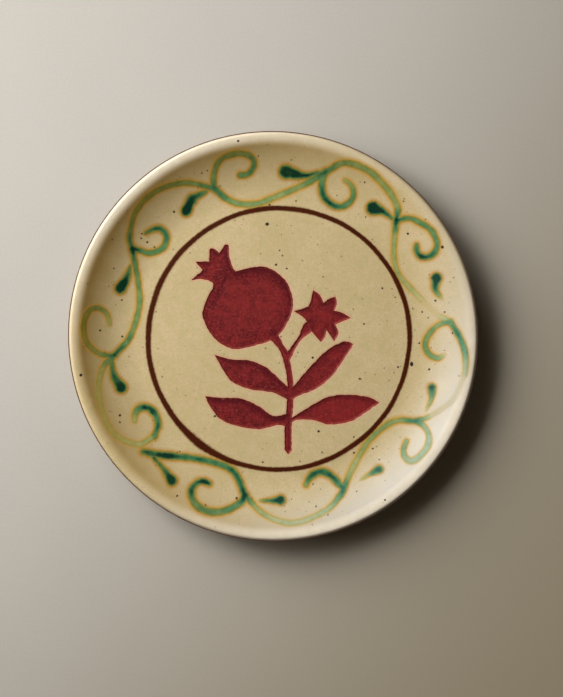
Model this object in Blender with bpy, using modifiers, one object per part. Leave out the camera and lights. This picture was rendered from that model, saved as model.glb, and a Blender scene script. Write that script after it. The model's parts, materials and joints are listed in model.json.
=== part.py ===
"""A hand painted ceramic plate: a thrown clay dish with a foot ring, glazed coats, a carved plant inlaid
in red slip, and a border of green brush strokes.

Units are metres, +Z is up, and the origin is on the table under the plate's centre. Outlines and strokes
are drawn in millimetres and scaled by MM. +Y is the top of the painted plant.
"""

import math

import bmesh
import bpy
import numpy as np

MM = 0.001
TAU = 2 * math.pi

# Driving dimensions of the glazed plate.
PLATE_R = 0.130
WELL_R = 0.088
WELL_Z = 0.0125
WALL_R = 0.1195
WALL_CURVE = 10.16
CREST_R = 0.126
LIP_Z = 0.0216
UNDER_Z = 0.0055
UNDER_R = 0.090
UNDER_END_R = 0.126
LIP_PULL = 0.0020
COAT = 0.0010
GAP = 0.0003
STEPS = 60

# Foot ring: outer and inner radius where it joins the clay, and of the flat that it stands on.
FOOT_TOP_OUT_R = 0.0790
FOOT_TOP_IN_R = 0.0675
FOOT_FLAT_OUT_R = 0.0760
FOOT_FLAT_IN_R = 0.0700
FOOT_EDGE = 0.0010

# The thin line at the lip's outermost edge, as a height above and below it.
LIP_LINE_HALF = 0.0008

# Painted layers. The ring line lies in a groove of the face glaze, flush with it.
PAINT = 0.0005
INLAY = 0.0006
RING_CENTRE = (3.7, -1.6)
RING_R = 83.8
RING_HALF = 1.2
RING_SWELL = 1.1
RING_SWELL_ANGLE = math.radians(233)
RING_SWELL_SPREAD = math.radians(11)
RING_POINTS = 72
VINE_HALF = 1.6
CURL_HALF = 1.7
STROKE_END_HALF = 0.5
STROKE_TAPER = 3.0
STROKE_GAP = 0.5
VINE_STEP = 4.5
BRANCH_STEP = 3.0
DROP_SWELL_SHARE = 0.8
DROP_SWELL_POWER = 1.5
HEAD_ANGLES = (30, 55, 78)

# The vine's joints, where its runs meet and its curls and drops branch off.
JOINT = {
    "left_upper": (-90.0, 56.0),
    "top_left": (-38.0, 94.8),
    "top_right": (33.5, 105.0),
    "right_upper": (78.6, 73.8),
    "right": (113.0, 9.0),
    "right_lower": (91.0, -54.2),
    "bottom_right": (45.0, -97.0),
    "bottom_left": (-18.0, -102.0),
    "left_lower": (-76.0, -64.0),
    "left": (-101.5, -12.0),
}

# The vine's runs: the joint where each starts, the points that it passes, and the joint where it ends.
VINE = {
    "vine_top_left": ("left_upper", [(-91, 64), (-86, 80), (-73.8, 91.7), (-56.3, 97.2)], "top_left"),
    "vine_top": ("top_left", [(-27, 86.5), (-12.7, 84.6), (2, 89.5), (21.6, 98)], "top_right"),
    "vine_top_right": ("top_right", [(45.7, 109.8), (60.3, 104.5), (72, 94.3), (79, 83)], "right_upper"),
    "vine_right_upper": ("right_upper", [(77.5, 57), (82, 39), (92, 28.4), (104.2, 15.4)], "right"),
    "vine_right": ("right", [(120.6, -6.3), (121, -24), (114.3, -40.3), (100, -51)], "right_lower"),
    "vine_right_lower": ("right_lower", [(77.4, -54.6), (63.7, -65.5), (53.4, -81)], "bottom_right"),
    "vine_bottom": ("bottom_right", [(33, -111.6), (12.6, -120), (-6.2, -114.5)], "bottom_left"),
    "vine_bottom_left": ("bottom_left", [(-26.4, -86), (-46.4, -79), (-72, -76)], "bottom_end"),
    "vine_left_upper": ("left_upper", [(-86, 36), (-85.8, 20), (-91.6, 0)], "left"),
    "vine_left_lower": ("left", [(-109, -21), (-110, -38), (-102, -59.7), (-87.3, -69.3)], "left_lower"),
}
VINE_BOTTOM_END = (-83.0, -73.8)

# The curls: the joint where each branches off, and the points of its spiral from there inwards.
CURLS = {
    "curl_left_upper": ("left_upper", [
        (-85, 54.8), (-80, 53.3), (-74, 54.6), (-70, 57.5), (-68.4, 62), (-69.2, 66), (-72.5, 68.9),
        (-76, 68.6), (-79.5, 67.2), (-81.5, 66)
    ]),
    "curl_top_left": ("top_left", [
        (-38.3, 99), (-37.8, 103.5), (-35.5, 110), (-31.5, 113.7), (-26, 115.7), (-20.5, 116.3),
        (-15.6, 115.2), (-12.6, 112.3), (-12.6, 108.3), (-14.8, 104.8), (-18, 103.2), (-21.3, 103)
    ]),
    "curl_top_right": ("top_right", [
        (31.8, 101.5), (31, 97), (31.6, 92), (33.6, 87.8), (38, 84.2), (43, 83), (47.8, 84.8), (51, 89),
        (51, 93.5), (49, 97.2), (45.9, 99.5)
    ]),
    "curl_right_upper": ("right_upper", [
        (83.5, 75), (88.5, 74.6), (93.5, 72.2), (98, 69.5), (101.8, 65.5), (104, 60), (104, 55.8),
        (101.5, 52), (97, 50.4), (93.4, 51.9), (91.7, 55), (91.5, 58)
    ]),
    "curl_right": ("right", [
        (108.5, 8.4), (104.8, 6.6), (101.3, 3.2), (98.8, -1.5), (98.1, -6), (99.6, -10.4),
        (102.8, -13.4), (106, -13.9), (109.3, -11.6)
    ]),
    "curl_right_lower": ("right_lower", [
        (95, -56.4), (98.2, -60.5), (99.3, -65), (98.2, -70), (95, -74.4), (91, -78.2), (87, -79.4),
        (84, -76.8), (83.2, -73), (84, -69.5), (85.2, -67)
    ]),
    "curl_bottom_right": ("bottom_right", [
        (42.3, -94.8), (39.5, -91.6), (36, -88.7), (31.8, -87), (27.8, -87.4), (24.4, -89.6),
        (22.2, -92.4), (21, -95.2)
    ]),
    "curl_bottom_left": ("bottom_left", [
        (-20.2, -105.6), (-24.5, -108.6), (-30, -111), (-36, -112), (-42, -111.3), (-47.3, -108.8),
        (-51, -104.8), (-52.3, -100), (-51.2, -96.2), (-48, -93.3), (-44.4, -93), (-41, -94.3)
    ]),
    "curl_left_lower": ("left_lower", [
        (-74.8, -60.5), (-73.8, -57), (-74.4, -52.8), (-76.5, -48.9), (-79.6, -46.2), (-83.5, -45.5),
        (-86.7, -47), (-88.5, -50.2), (-88.8, -54)
    ]),
    "curl_left": ("left", [
        (-105.5, -12.4), (-110.5, -11.3), (-114.8, -8.6), (-117.8, -4.4), (-119.4, 1), (-119.9, 6.5),
        (-119, 12), (-116.4, 16.4), (-112, 18.3), (-107.6, 16.8), (-104.8, 13), (-104.2, 7.6)
    ]),
}

# The drops: the points of each from its tail to the middle of its head, and the head's half width.
DROPS = {
    "drop_left_upper": ([(-91.5, 45), (-94, 37), (-97.9, 30.6)], 4.0),
    "drop_top_left": ([(-42.7, 91.2), (-50.7, 86.9), (-54.7, 79.7)], 3.6),
    "drop_top": ([(29, 104.8), (20, 102.8), (8, 105.2)], 4.6),
    "drop_right_upper": ([(76, 75.2), (70.4, 79.5), (63.8, 82)], 3.9),
    "drop_right": ([(108.6, 23.5), (104.5, 30), (104.8, 37)], 2.9),
    "drop_right_lower": ([(97.6, -47.4), (101, -40), (101.4, -33)], 2.9),
    "drop_bottom_right": ([(56, -93.2), (62, -89.8), (67.7, -85)], 2.6),
    "drop_bottom": ([(-8, -105.2), (-2, -105.1), (4.6, -104.7)], 2.9),
    "drop_bottom_left": ([(-74.3, -80.4), (-69, -86.2), (-64.5, -92.3)], 3.2),
    "drop_left": ([(-103.5, -15.5), (-102, -25), (-97.3, -32.7)], 4.0),
}

# The carved plant. Each outline is a list of runs: a run is smooth along its points, and a corner is
# where one run ends and the next starts.
CROWN = [
    [(-52.4, 36), (-45.2, 42.4)],
    [(-45.2, 42.4), (-49.8, 47.7)],
    [(-49.8, 47.7), (-41, 48)],
    [(-41, 48), (-40.8, 56.3)],
    [(-40.8, 56.3), (-38.4, 56.2), (-34.5, 53.5)],
    [(-34.5, 53.5), (-31, 58.6)],
    [(-31, 58.6), (-28.6, 58.1), (-28.2, 51.8), (-26.1, 44)],
    [(-26.1, 44), (-30, 38), (-38.6, 31.5)],
    [(-38.6, 31.5), (-39, 34.5), (-45.2, 36.6), (-52.4, 36)],
]
FRUIT = [
    [(-26.1, 44), (-23, 41.8), (-15.3, 43.8), (-3.6, 44), (8.2, 35.2), (12.7, 21), (8.8, 8.2), (1, -1.2),
     (-12.3, -6), (-26, -8), (-37.8, -1.1), (-45, 12), (-43.5, 21.5), (-38.6, 31.5)],
    [(-38.6, 31.5), (-26.1, 44)],
]
STEM = [
    [(-3.5, -1), (-0.6, -3.5), (4.3, -9.4), (7.7, -20.3), (9.1, -31), (8.6, -45), (7.4, -58), (7.4, -73)],
    [(7.4, -73), (9.8, -75.4), (11.8, -73)],
    [(11.8, -73), (11.8, -58), (12.9, -42), (12.7, -28), (10.7, -15.3)],
    [(10.7, -15.3), (15.1, -7.5), (18, -2), (24, 3)],
    [(24, 3), (25, 10)],
    [(25, 10), (19.5, 8), (15.1, -0.6), (9.7, -10)],
    [(9.7, -10), (6, -4.5), (2.9, 1.4)],
    [(2.9, 1.4), (-3.5, -1)],
]
BLOSSOM = [
    [(14.2, 15.7), (23.4, 18.8)],
    [(23.4, 18.8), (25.6, 24.5), (26.3, 29)],
    [(26.3, 29), (32.8, 21)],
    [(32.8, 21), (40.2, 25)],
    [(40.2, 25), (38.6, 20.5), (39.3, 16.5)],
    [(39.3, 16.5), (49.4, 11.8)],
    [(49.4, 11.8), (44, 8.6), (39, 7.7)],
    [(39, 7.7), (42, 2.5), (39, -3.4)],
    [(39, -3.4), (34.8, 4)],
    [(34.8, 4), (31.4, -3.5)],
    [(31.4, -3.5), (27.5, -1.5), (25.7, 2.8)],
    [(25.7, 2.8), (20.5, 9.5)],
    [(20.5, 9.5), (14.2, 15.7)],
]
LEAF_UPPER_LEFT = [
    [(11, -34), (4.5, -28), (-4.5, -20), (-15.5, -15.5), (-26, -15), (-37.5, -12)],
    [(-37.5, -12), (-33, -20), (-26.5, -29), (-14.5, -34), (-0.5, -36), (11, -41.5)],
    [(11, -41.5), (11, -34)],
]
LEAF_LOWER_LEFT = [
    [(10, -49.5), (0, -51), (-9, -45), (-20.5, -40), (-33, -39.5), (-43.5, -38.5)],
    [(-43.5, -38.5), (-41, -44), (-34, -53), (-23, -57.5), (-9, -59.5), (2.5, -57), (10, -58)],
    [(10, -58), (10, -49.5)],
]
LEAF_UPPER_RIGHT = [
    [(11, -34), (14, -31), (22.5, -21), (34, -9.5), (45, -3.5), (51.5, -4.9)],
    [(51.5, -4.9), (45, -15), (37.5, -25.5), (27.5, -33.5), (15.5, -38.5), (11, -42)],
    [(11, -42), (11, -34)],
]
LEAF_LOWER_RIGHT = [
    [(10, -53.5), (14, -51), (24.5, -44.5), (35, -39), (47, -37.5), (61, -39), (68, -42.5)],
    [(68, -42.5), (59.5, -48.5), (49.5, -54.5), (36, -56.5), (26, -53.8), (15, -53.6), (10, -57)],
    [(10, -57), (10, -53.5)],
]
OUTLINE_STEP = 3.0
SHARPEST_TURN = 0.25

# Colour, roughness and metallic value of each material, in linear RGB.
FINISH = {
    "bare_clay": ((0.20, 0.115, 0.065), 0.85, 0.0),
    "cream_glaze": ((0.57, 0.44, 0.235), 0.3, 0.0),
    "back_glaze": ((0.50, 0.38, 0.20), 0.4, 0.0),
    "iron_brown": ((0.05, 0.011, 0.004), 0.35, 0.0),
    "lip_brown": ((0.09, 0.04, 0.03), 0.5, 0.0),
    "red_slip": ((0.19, 0.018, 0.018), 0.5, 0.0),
    "copper_green": ((0.03, 0.14, 0.09), 0.3, 0.0),
}


def clear_scene():
    for old in list(bpy.data.objects):
        bpy.data.objects.remove(old, do_unlink=True)


def new_collection(name):
    collection = bpy.data.collections.new(name)
    bpy.context.scene.collection.children.link(collection)
    return collection


def material(name):
    made = bpy.data.materials.get(name)
    if made:
        return made
    colour, roughness, metallic = FINISH[name]
    made = bpy.data.materials.new(name)
    made.use_nodes = True
    shader = made.node_tree.nodes["Principled BSDF"]
    shader.inputs["Base Color"].default_value = (*colour, 1)
    shader.inputs["Roughness"].default_value = roughness
    shader.inputs["Metallic"].default_value = metallic
    return made


def add_object(name, mesh, finish, collection):
    piece = bpy.data.objects.new(name, mesh)
    collection.objects.link(piece)
    if finish:
        mesh.materials.append(material(finish))
    return piece


def bezier(start, start_pull, end_pull, end, count):
    """Points along a cubic curve, without its first point."""
    points = []
    for k in range(1, count + 1):
        t = k / count
        weights = ((1 - t) ** 3, 3 * t * (1 - t) ** 2, 3 * t * t * (1 - t), t**3)
        controls = (start, start_pull, end_pull, end)
        points.append(tuple(sum(w * c[i] for w, c in zip(weights, controls)) for i in (0, 1)))
    return points


def face_z(r):
    """Height of the glazed face: a flat well, a wall that steepens, and an arc that levels at the crest."""
    wall = WELL_Z + WALL_CURVE * max(0.0, min(r, WALL_R) - WELL_R) ** 2
    if r <= WALL_R:
        return wall
    angle = math.atan(2 * WALL_CURVE * (WALL_R - WELL_R))
    arc_r = (CREST_R - WALL_R) / math.sin(angle)
    return wall + math.sqrt(arc_r**2 - (CREST_R - r) ** 2) - arc_r * math.cos(angle)


def under_z(r):
    """Height of the glazed underside."""
    return UNDER_Z + WALL_CURVE * max(0.0, r - UNDER_R) ** 2


def face_profile():
    """The glazed outer surface from the centre of the well to the lip's outermost edge."""
    radii = [0.0, WELL_R, *np.linspace(WELL_R, WALL_R, 6)[1:], *np.linspace(WALL_R, CREST_R, 4)[1:]]
    points = [(r, face_z(r)) for r in radii]
    crest = points[-1]
    edge = (PLATE_R, LIP_Z + LIP_LINE_HALF)
    return points + bezier(crest, (CREST_R + LIP_PULL, crest[1]), (PLATE_R, LIP_Z + LIP_PULL), edge, 3)


def back_profile():
    """The glazed outer surface from the lip's outermost edge down to the foot."""
    end = (UNDER_END_R, under_z(UNDER_END_R))
    slope = 2 * WALL_CURVE * (UNDER_END_R - UNDER_R)
    start = (PLATE_R, LIP_Z - LIP_LINE_HALF)
    pull = (end[0] + LIP_PULL, end[1] + LIP_PULL * slope)
    points = [start] + bezier(start, (PLATE_R, LIP_Z - LIP_PULL), pull, end, 3)
    points += [(r, under_z(r)) for r in np.linspace(UNDER_END_R, UNDER_R, 6)[1:]]
    return points + [(FOOT_TOP_OUT_R + GAP, UNDER_Z)]


def inward(profile, depth):
    """The same profile moved into the clay by a depth, square to its surface."""
    points = np.array(profile)
    along = np.gradient(points, axis=0)
    at_lip_edge = points[:, 0] == PLATE_R
    along[at_lip_edge] = (0, -1)
    along /= np.linalg.norm(along, axis=1, keepdims=True)
    moved = points + depth * np.column_stack([along[:, 1], -along[:, 0]])
    moved[points[:, 0] == 0, 0] = 0
    return [tuple(point) for point in moved]


def turned(name, profile, finish, collection):
    """A closed or axis-to-axis profile of (radius, height), turned about +Z."""
    mesh = bpy.data.meshes.new(name)
    on_axis = profile[0][0] == 0 and profile[-1][0] == 0
    edges = [(i, i + 1) for i in range(len(profile) - 1)]
    if not on_axis:
        edges.append((len(profile) - 1, 0))
    mesh.from_pydata([(r, 0, z) for r, z in profile], edges, [])
    piece = add_object(name, mesh, finish, collection)
    screw = piece.modifiers.new("turn", "SCREW")
    screw.steps = STEPS
    screw.render_steps = STEPS
    screw.use_merge_vertices = True
    screw.merge_threshold = 0.00001
    screw.use_smooth_shade = True
    screw.use_normal_calculate = False
    return piece


def coat(name, outer, finish, collection):
    """A glaze coat under an outer profile."""
    inner = inward(outer, COAT)
    return turned(name, outer + inner[::-1], finish, collection)


def smooth_path(points, step):
    """Points about a step apart along a smooth curve through the given points."""
    given = np.array(points, float)
    if len(given) == 2:
        padded = np.array([2 * given[0] - given[1], given[0], given[1], 2 * given[1] - given[0]])
    else:
        first = 2 * given[0] - given[1]
        last = 2 * given[-1] - given[-2]
        padded = np.vstack([first, given, last])
    path = [given[0]]
    for a, b, c, d in zip(padded, padded[1:], padded[2:], padded[3:]):
        count = max(1, round(float(np.linalg.norm(c - b)) / step))
        for k in range(1, count + 1):
            t = k / count
            path.append(0.5 * (2 * b + (c - a) * t + (2 * a - 5 * b + 4 * c - d) * t**2
                               + (3 * b - a - 3 * c + d) * t**3))
    return np.array(path)


def outline_points(runs):
    """The closed outline of a list of runs, each smooth and meeting the next at a corner."""
    pieces = []
    for run in runs:
        step = OUTLINE_STEP if len(run) > 2 else 1000
        pieces.append(smooth_path(run, step)[:-1])
    points = np.vstack(pieces)
    x, y = points.T
    area = np.sum(x * np.roll(y, -1) - np.roll(x, -1) * y)
    return points if area > 0 else points[::-1]


def shrunk(outline, distance):
    """An anticlockwise outline moved inwards all round."""
    before = outline - np.roll(outline, 1, axis=0)
    after = np.roll(outline, -1, axis=0) - outline
    before /= np.linalg.norm(before, axis=1, keepdims=True)
    after /= np.linalg.norm(after, axis=1, keepdims=True)
    normals = [np.column_stack([-side[:, 1], side[:, 0]]) for side in (before, after)]
    middle = normals[0] + normals[1]
    middle /= np.linalg.norm(middle, axis=1, keepdims=True)
    reach = np.clip(np.sum(middle * normals[0], axis=1), SHARPEST_TURN, 1)
    return outline + middle * (distance / reach)[:, None]


def flat_plate(name, outline, low, high, finish, collection):
    """A flat piece of an outline in millimetres, between two heights."""
    curve = bpy.data.curves.new(name, "CURVE")
    curve.dimensions = "2D"
    curve.fill_mode = "BOTH"
    curve.extrude = (high - low) / 2
    spline = curve.splines.new("POLY")
    spline.points.add(len(outline) - 1)
    for point, (x, y) in zip(spline.points, outline):
        point.co = (x * MM, y * MM, 0, 1)
    spline.use_cyclic_u = True
    guide = add_object(name + "_guide", curve, None, collection)
    guide.location.z = (low + high) / 2
    bpy.context.view_layer.update()
    graph = bpy.context.evaluated_depsgraph_get()
    mesh = bpy.data.meshes.new_from_object(guide.evaluated_get(graph))
    mesh.name = name
    welded = bmesh.new()
    welded.from_mesh(mesh)
    bmesh.ops.remove_doubles(welded, verts=welded.verts, dist=0.000001)
    bmesh.ops.recalc_face_normals(welded, faces=welded.faces)
    welded.to_mesh(mesh)
    welded.free()
    mesh.materials.clear()
    piece = add_object(name, mesh, finish, collection)
    piece.matrix_world = guide.matrix_world.copy()
    bpy.data.objects.remove(guide)
    return piece


def cut(piece, cutter):
    boolean = piece.modifiers.new("cut_" + cutter.name, "BOOLEAN")
    boolean.operation = "DIFFERENCE"
    boolean.solver = "EXACT"
    boolean.object = cutter


def as_tool(piece):
    piece.hide_render = True
    piece.display_type = "WIRE"
    return piece


def recess_cutter(name, runs, collection):
    """A tool of the full outline, tall enough to pass through the face glaze."""
    low = WELL_Z - COAT - GAP / 2
    return as_tool(flat_plate(name, outline_points(runs), low, WELL_Z + COAT, None, collection))


def inlay(name, runs, neighbours, collection):
    """Red slip in its part of the recess, a gap inside the outline and clear of its neighbours."""
    low = WELL_Z - COAT
    outline = shrunk(outline_points(runs), GAP / MM)
    piece = flat_plate(name, outline, low, low + INLAY, "red_slip", collection)
    for neighbour in neighbours:
        cut(piece, neighbour)
    return piece


def ribbon(name, path, half, low, high, finish, collection, closed=False):
    """A band between two heights over the face: one row of points down each side of the path."""
    ahead = np.roll(path, -1, axis=0) - np.roll(path, 1, axis=0)
    if not closed:
        ahead = np.gradient(path, axis=0)
    ahead /= np.linalg.norm(ahead, axis=1, keepdims=True)
    side = np.column_stack([-ahead[:, 1], ahead[:, 0]])
    shape = bmesh.new()
    rows = []
    for sign in (1, -1):
        line = (path + sign * side * np.asarray(half)[:, None]) * MM
        rows.append([shape.verts.new((x, y, face_z(math.hypot(x, y)) + low)) for x, y in line])
    count = len(path)
    for i in range(count if closed else count - 1):
        j = (i + 1) % count
        shape.faces.new((rows[0][i], rows[1][i], rows[1][j], rows[0][j]))
    mesh = bpy.data.meshes.new(name)
    shape.to_mesh(mesh)
    shape.free()
    piece = add_object(name, mesh, finish, collection)
    thicken = piece.modifiers.new("thickness", "SOLIDIFY")
    thicken.thickness = high - low
    thicken.offset = 1
    return piece


def green_stroke(name, path, half, collection):
    """A brush stroke laid on the face."""
    return ribbon(name, path, half, GAP, GAP + PAINT, "copper_green", collection)


def lengths(path):
    """Distance along a path to each of its points."""
    steps = np.linalg.norm(np.diff(path, axis=0), axis=1)
    return np.concatenate([[0], np.cumsum(steps)])


def trimmed(path, start, end, step):
    """The path with a length taken off each end, its points about a step apart."""
    along = lengths(path)
    count = max(4, round((along[-1] - start - end) / step) + 1)
    wanted = np.linspace(start, along[-1] - end, count)
    return np.column_stack([np.interp(wanted, along, path[:, i]) for i in (0, 1)])


def band_half(path, full):
    """Half widths that taper at both ends of a stroke."""
    along = lengths(path)
    from_end = np.minimum(along, along[-1] - along)
    ease = np.clip(from_end / STROKE_TAPER, 0, 1)
    return STROKE_END_HALF + (full - STROKE_END_HALF) * np.sqrt(ease)


def clear_start(path, half, others):
    """How much to take off the start of a branch so that it stays clear of the strokes beside it."""
    along = lengths(path)
    nearest = np.min([np.min(np.linalg.norm(path[:, None] - other[None], axis=2), axis=1)
                      for other in others], axis=0)
    close = np.nonzero(nearest < half + VINE_HALF + STROKE_GAP)[0]
    return 0 if len(close) == 0 else along[min(close[-1] + 1, len(path) - 1)]


def drop_half(path, head):
    """Half widths of a drop, which swells from a thin tail to a round head past its last point."""
    along = lengths(path)
    before_head = np.clip(1 - (along[-1] - along) / (along[-1] * DROP_SWELL_SHARE), 0, 1)
    return STROKE_END_HALF + (head - STROKE_END_HALF) * before_head**DROP_SWELL_POWER


def with_round_head(path, half, head):
    """The drop's path run on by its head's radius, with the widths of a half circle."""
    ahead = path[-1] - path[-2]
    ahead /= np.linalg.norm(ahead)
    angles = np.radians(HEAD_ANGLES)
    beyond = path[-1] + np.outer(np.sin(angles) * head, ahead)
    return np.vstack([path, beyond]), np.concatenate([half, np.cos(angles) * head])


def build_body(collection):
    face = face_profile()
    back = back_profile()
    clay_depth = COAT + GAP
    clay = inward(face + back, clay_depth)
    clay_base = UNDER_Z + clay_depth
    turned("clay_body", clay + [(0.0, clay_base)], "bare_clay", collection)
    glaze = coat("face_glaze", face, "cream_glaze", collection)
    coat("back_glaze", back, "back_glaze", collection)
    return glaze, clay_base


def build_lip_line(collection):
    """A narrow band that fills the glaze's edge between the face coat and the back coat."""
    low = LIP_Z - LIP_LINE_HALF + GAP
    high = LIP_Z + LIP_LINE_HALF - GAP
    inner = PLATE_R - COAT
    profile = [(inner, high), (PLATE_R, high), (PLATE_R, low), (inner, low)]
    turned("lip_line", profile, "lip_brown", collection)


def build_foot(clay_base, collection):
    top = clay_base - GAP
    profile = [
        (FOOT_TOP_OUT_R, top),
        (FOOT_FLAT_OUT_R + FOOT_EDGE, FOOT_EDGE),
        (FOOT_FLAT_OUT_R, 0.0),
        (FOOT_FLAT_IN_R, 0.0),
        (FOOT_FLAT_IN_R - FOOT_EDGE, FOOT_EDGE),
        (FOOT_TOP_IN_R, top),
    ]
    turned("foot_ring", profile, "bare_clay", collection)
    edge = FOOT_TOP_IN_R - 2 * GAP
    turned("recess_glaze", [(0.0, top), (edge, top), (edge, top - COAT), (0.0, top - COAT)],
           "back_glaze", collection)


def build_ring_line(glaze, collection, tools):
    angles = np.linspace(0, TAU, RING_POINTS, endpoint=False)
    path = np.array(RING_CENTRE) + RING_R * np.column_stack([np.cos(angles), np.sin(angles)])
    away = (angles - RING_SWELL_ANGLE) / RING_SWELL_SPREAD
    half = RING_HALF + RING_SWELL * np.exp(-(away**2))
    groove = ribbon("ring_groove", path, half + GAP / MM, -PAINT - GAP, COAT, None, tools, closed=True)
    cut(glaze, as_tool(groove))
    ribbon("ring_line", path, half, -PAINT, 0.0, "iron_brown", collection, closed=True)


def build_plant(glaze, collection, tools):
    outlines = {
        "red_crown": CROWN,
        "red_fruit": FRUIT,
        "red_stem": STEM,
        "red_blossom": BLOSSOM,
        "red_leaf_upper_left": LEAF_UPPER_LEFT,
        "red_leaf_lower_left": LEAF_LOWER_LEFT,
        "red_leaf_upper_right": LEAF_UPPER_RIGHT,
        "red_leaf_lower_right": LEAF_LOWER_RIGHT,
    }
    cutters = {name: recess_cutter("recess_" + name, runs, tools) for name, runs in outlines.items()}
    for cutter in cutters.values():
        cut(glaze, cutter)
    for name, runs in outlines.items():
        neighbours = [] if name in ("red_crown", "red_stem") else [cutters["red_stem"]]
        if name == "red_fruit":
            neighbours.append(cutters["red_crown"])
        inlay(name, runs, neighbours, collection)


def build_border(collection):
    joints = dict(JOINT, bottom_end=VINE_BOTTOM_END)
    fine = {name: smooth_path([joints[a], *middle, joints[b]], 1.0) for name, (a, middle, b) in VINE.items()}
    for name, path in fine.items():
        path = trimmed(path, STROKE_GAP, STROKE_GAP, VINE_STEP)
        green_stroke(name, path, band_half(path, VINE_HALF), collection)
    vines = list(fine.values())
    for name, (joint, points) in CURLS.items():
        path = smooth_path([joints[joint], *points], 1.0)
        path = trimmed(path, clear_start(path, CURL_HALF, vines), 0, BRANCH_STEP)
        green_stroke(name, path, band_half(path, CURL_HALF), collection)
    for name, (points, head) in DROPS.items():
        path = smooth_path(points, 1.0)
        path = trimmed(path, clear_start(path, STROKE_END_HALF, vines), 0, BRANCH_STEP)
        path, half = with_round_head(path, drop_half(path, head), head)
        green_stroke(name, path, half, collection)


def main():
    clear_scene()
    plate = new_collection("hand_painted_plate")
    tools = new_collection("recess_tools")
    glaze, clay_base = build_body(plate)
    build_lip_line(plate)
    build_foot(clay_base, plate)
    build_plant(glaze, plate, tools)
    build_ring_line(glaze, plate, tools)
    build_border(plate)
    for piece in plate.objects:
        piece.data.shade_smooth()
        piece.data.set_sharp_from_angle(angle=math.radians(35))


main()
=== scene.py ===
"""The looks of a hand painted ceramic plate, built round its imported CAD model.

Outlines and strokes are drawn in millimetres, as in the CAD source, and every piece is scaled by MM when it
is made. The glazed face is one surface, surface_z, which the glaze coat, the brush strokes, the ring line
and the specks all follow. The painting is one field, painted, so that strokes run into each other as wet
colour does: each mesh carries the field's values at its points, and the materials turn them into colour.
"""

import json
import math
import random

import bpy
import numpy as np
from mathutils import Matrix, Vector
from mathutils.geometry import delaunay_2d_cdt
from mathutils.kdtree import KDTree


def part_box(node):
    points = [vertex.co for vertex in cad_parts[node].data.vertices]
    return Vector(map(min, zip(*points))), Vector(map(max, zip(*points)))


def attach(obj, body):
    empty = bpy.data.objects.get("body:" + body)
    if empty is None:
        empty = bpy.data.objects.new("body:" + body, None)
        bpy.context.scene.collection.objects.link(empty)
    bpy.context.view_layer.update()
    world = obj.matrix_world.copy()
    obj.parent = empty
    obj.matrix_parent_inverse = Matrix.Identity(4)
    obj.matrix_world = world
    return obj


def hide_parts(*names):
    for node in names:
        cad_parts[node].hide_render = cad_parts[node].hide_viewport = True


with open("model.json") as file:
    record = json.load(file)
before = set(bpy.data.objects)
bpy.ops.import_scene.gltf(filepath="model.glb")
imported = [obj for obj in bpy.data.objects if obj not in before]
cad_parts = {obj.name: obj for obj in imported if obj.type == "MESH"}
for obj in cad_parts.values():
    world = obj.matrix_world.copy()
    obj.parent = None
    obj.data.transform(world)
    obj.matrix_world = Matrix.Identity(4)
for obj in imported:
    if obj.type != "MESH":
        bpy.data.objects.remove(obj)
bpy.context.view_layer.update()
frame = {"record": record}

MM = 0.001
TAU = 2 * math.pi
ROOT = "root"

# Sizes that the CAD model settles.
PLATE_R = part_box("lip_line")[1].x / MM
LIP_Z = sum(corner.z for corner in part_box("lip_line")) / 2 / MM
WELL_Z = frame["record"]["mounts"][1]["pos_m"][2] / MM
FOOT_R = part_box("foot_ring")[1].x / MM
FOOT_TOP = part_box("foot_ring")[1].z / MM
UNDER_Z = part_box("recess_glaze")[0].z / MM
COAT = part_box("recess_glaze")[1].z / MM - UNDER_Z

# The turned section, as in the CAD source but for the crest, which the photo shows nearer to the edge.
WELL_R = 88.0
WALL_R = 121.5
WALL_CURVE = 0.0094
CREST_R = 127.8
UNDER_CURVE = 0.01016
UNDER_R = 90.0
UNDER_END_R = 126.0
LIP_PULL = 1.3
CREST_PULL = 1.6
LIP_LINE_HALF = 0.8
FOOT_TOP_IN_R = 67.5
FOOT_FLAT_OUT_R = 76.0
FOOT_FLAT_IN_R = 70.0
FOOT_EDGE = 1.0
AXIS_R = 0.5

# What the hand leaves: the rim is a little oval, and its height wanders.
OVAL = 0.0037
LIP_WANDER = 0.16

# Meshes.
AROUND = 800
INNER_R = 84.5
RING_STEP = 0.85
OUTLINE_STEP = 0.7
WELL_STEP = 2.0
BORDER_OFFSETS = (-1.9, -1.3, -0.85, -0.5, -0.22, 0.3, 0.65, 1.1, 1.8)
BORDER = 2.3
ROW_PITCH = 0.866
RIM_FREE = 1.2
RECESS = 0.55
RECESS_STEP = 0.05
RECESS_SLOPE = 0.95
GLAZE_ROLL = 0.08
FAR_FROM_RED = 40.0

# The brushed ring line.
RING_CENTRE = (3.5, -1.6)
RING_R = 83.8
RING_OVAL = 0.0032
RING_HALF = 1.7
RING_LEFT = 0.24
RING_SWELL = 0.9
RING_SWELL_ANGLE = math.radians(233)
RING_SWELL_SPREAD = math.radians(11)
RING_EDGE = 1.5
RING_LIFT = 0.012
RING_DOME = 0.035
RING_POINTS = 760

# Light and camera.
CAMERA_AIM = (0.00530, -0.00785)
CAMERA_HEIGHT = 1.2535
LENS = 100
KEY_AZIMUTH = math.radians(147)
KEY_ELEVATION = math.radians(36)
KEY_DISTANCE = 1.3
KEY_SIZE = (0.60, 1.15)
KEY_SPREAD = math.radians(120)
KEY_WATTS = 14.5
KEY_COLOUR = (1.0, 0.985, 0.955)
# The key is three softboxes side by side: how far each is turned, in degrees, and its share of the light.
KEY_BANK = [(-26, 0.16), (0, 0.68), (26, 0.16)]
FILL = 0.052
FILL_COLOUR = (1.0, 0.86, 0.66, 1)
BACKDROP = (0.50, 0.455, 0.385, 1)
FLOOR_HALF = 2.8

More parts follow.
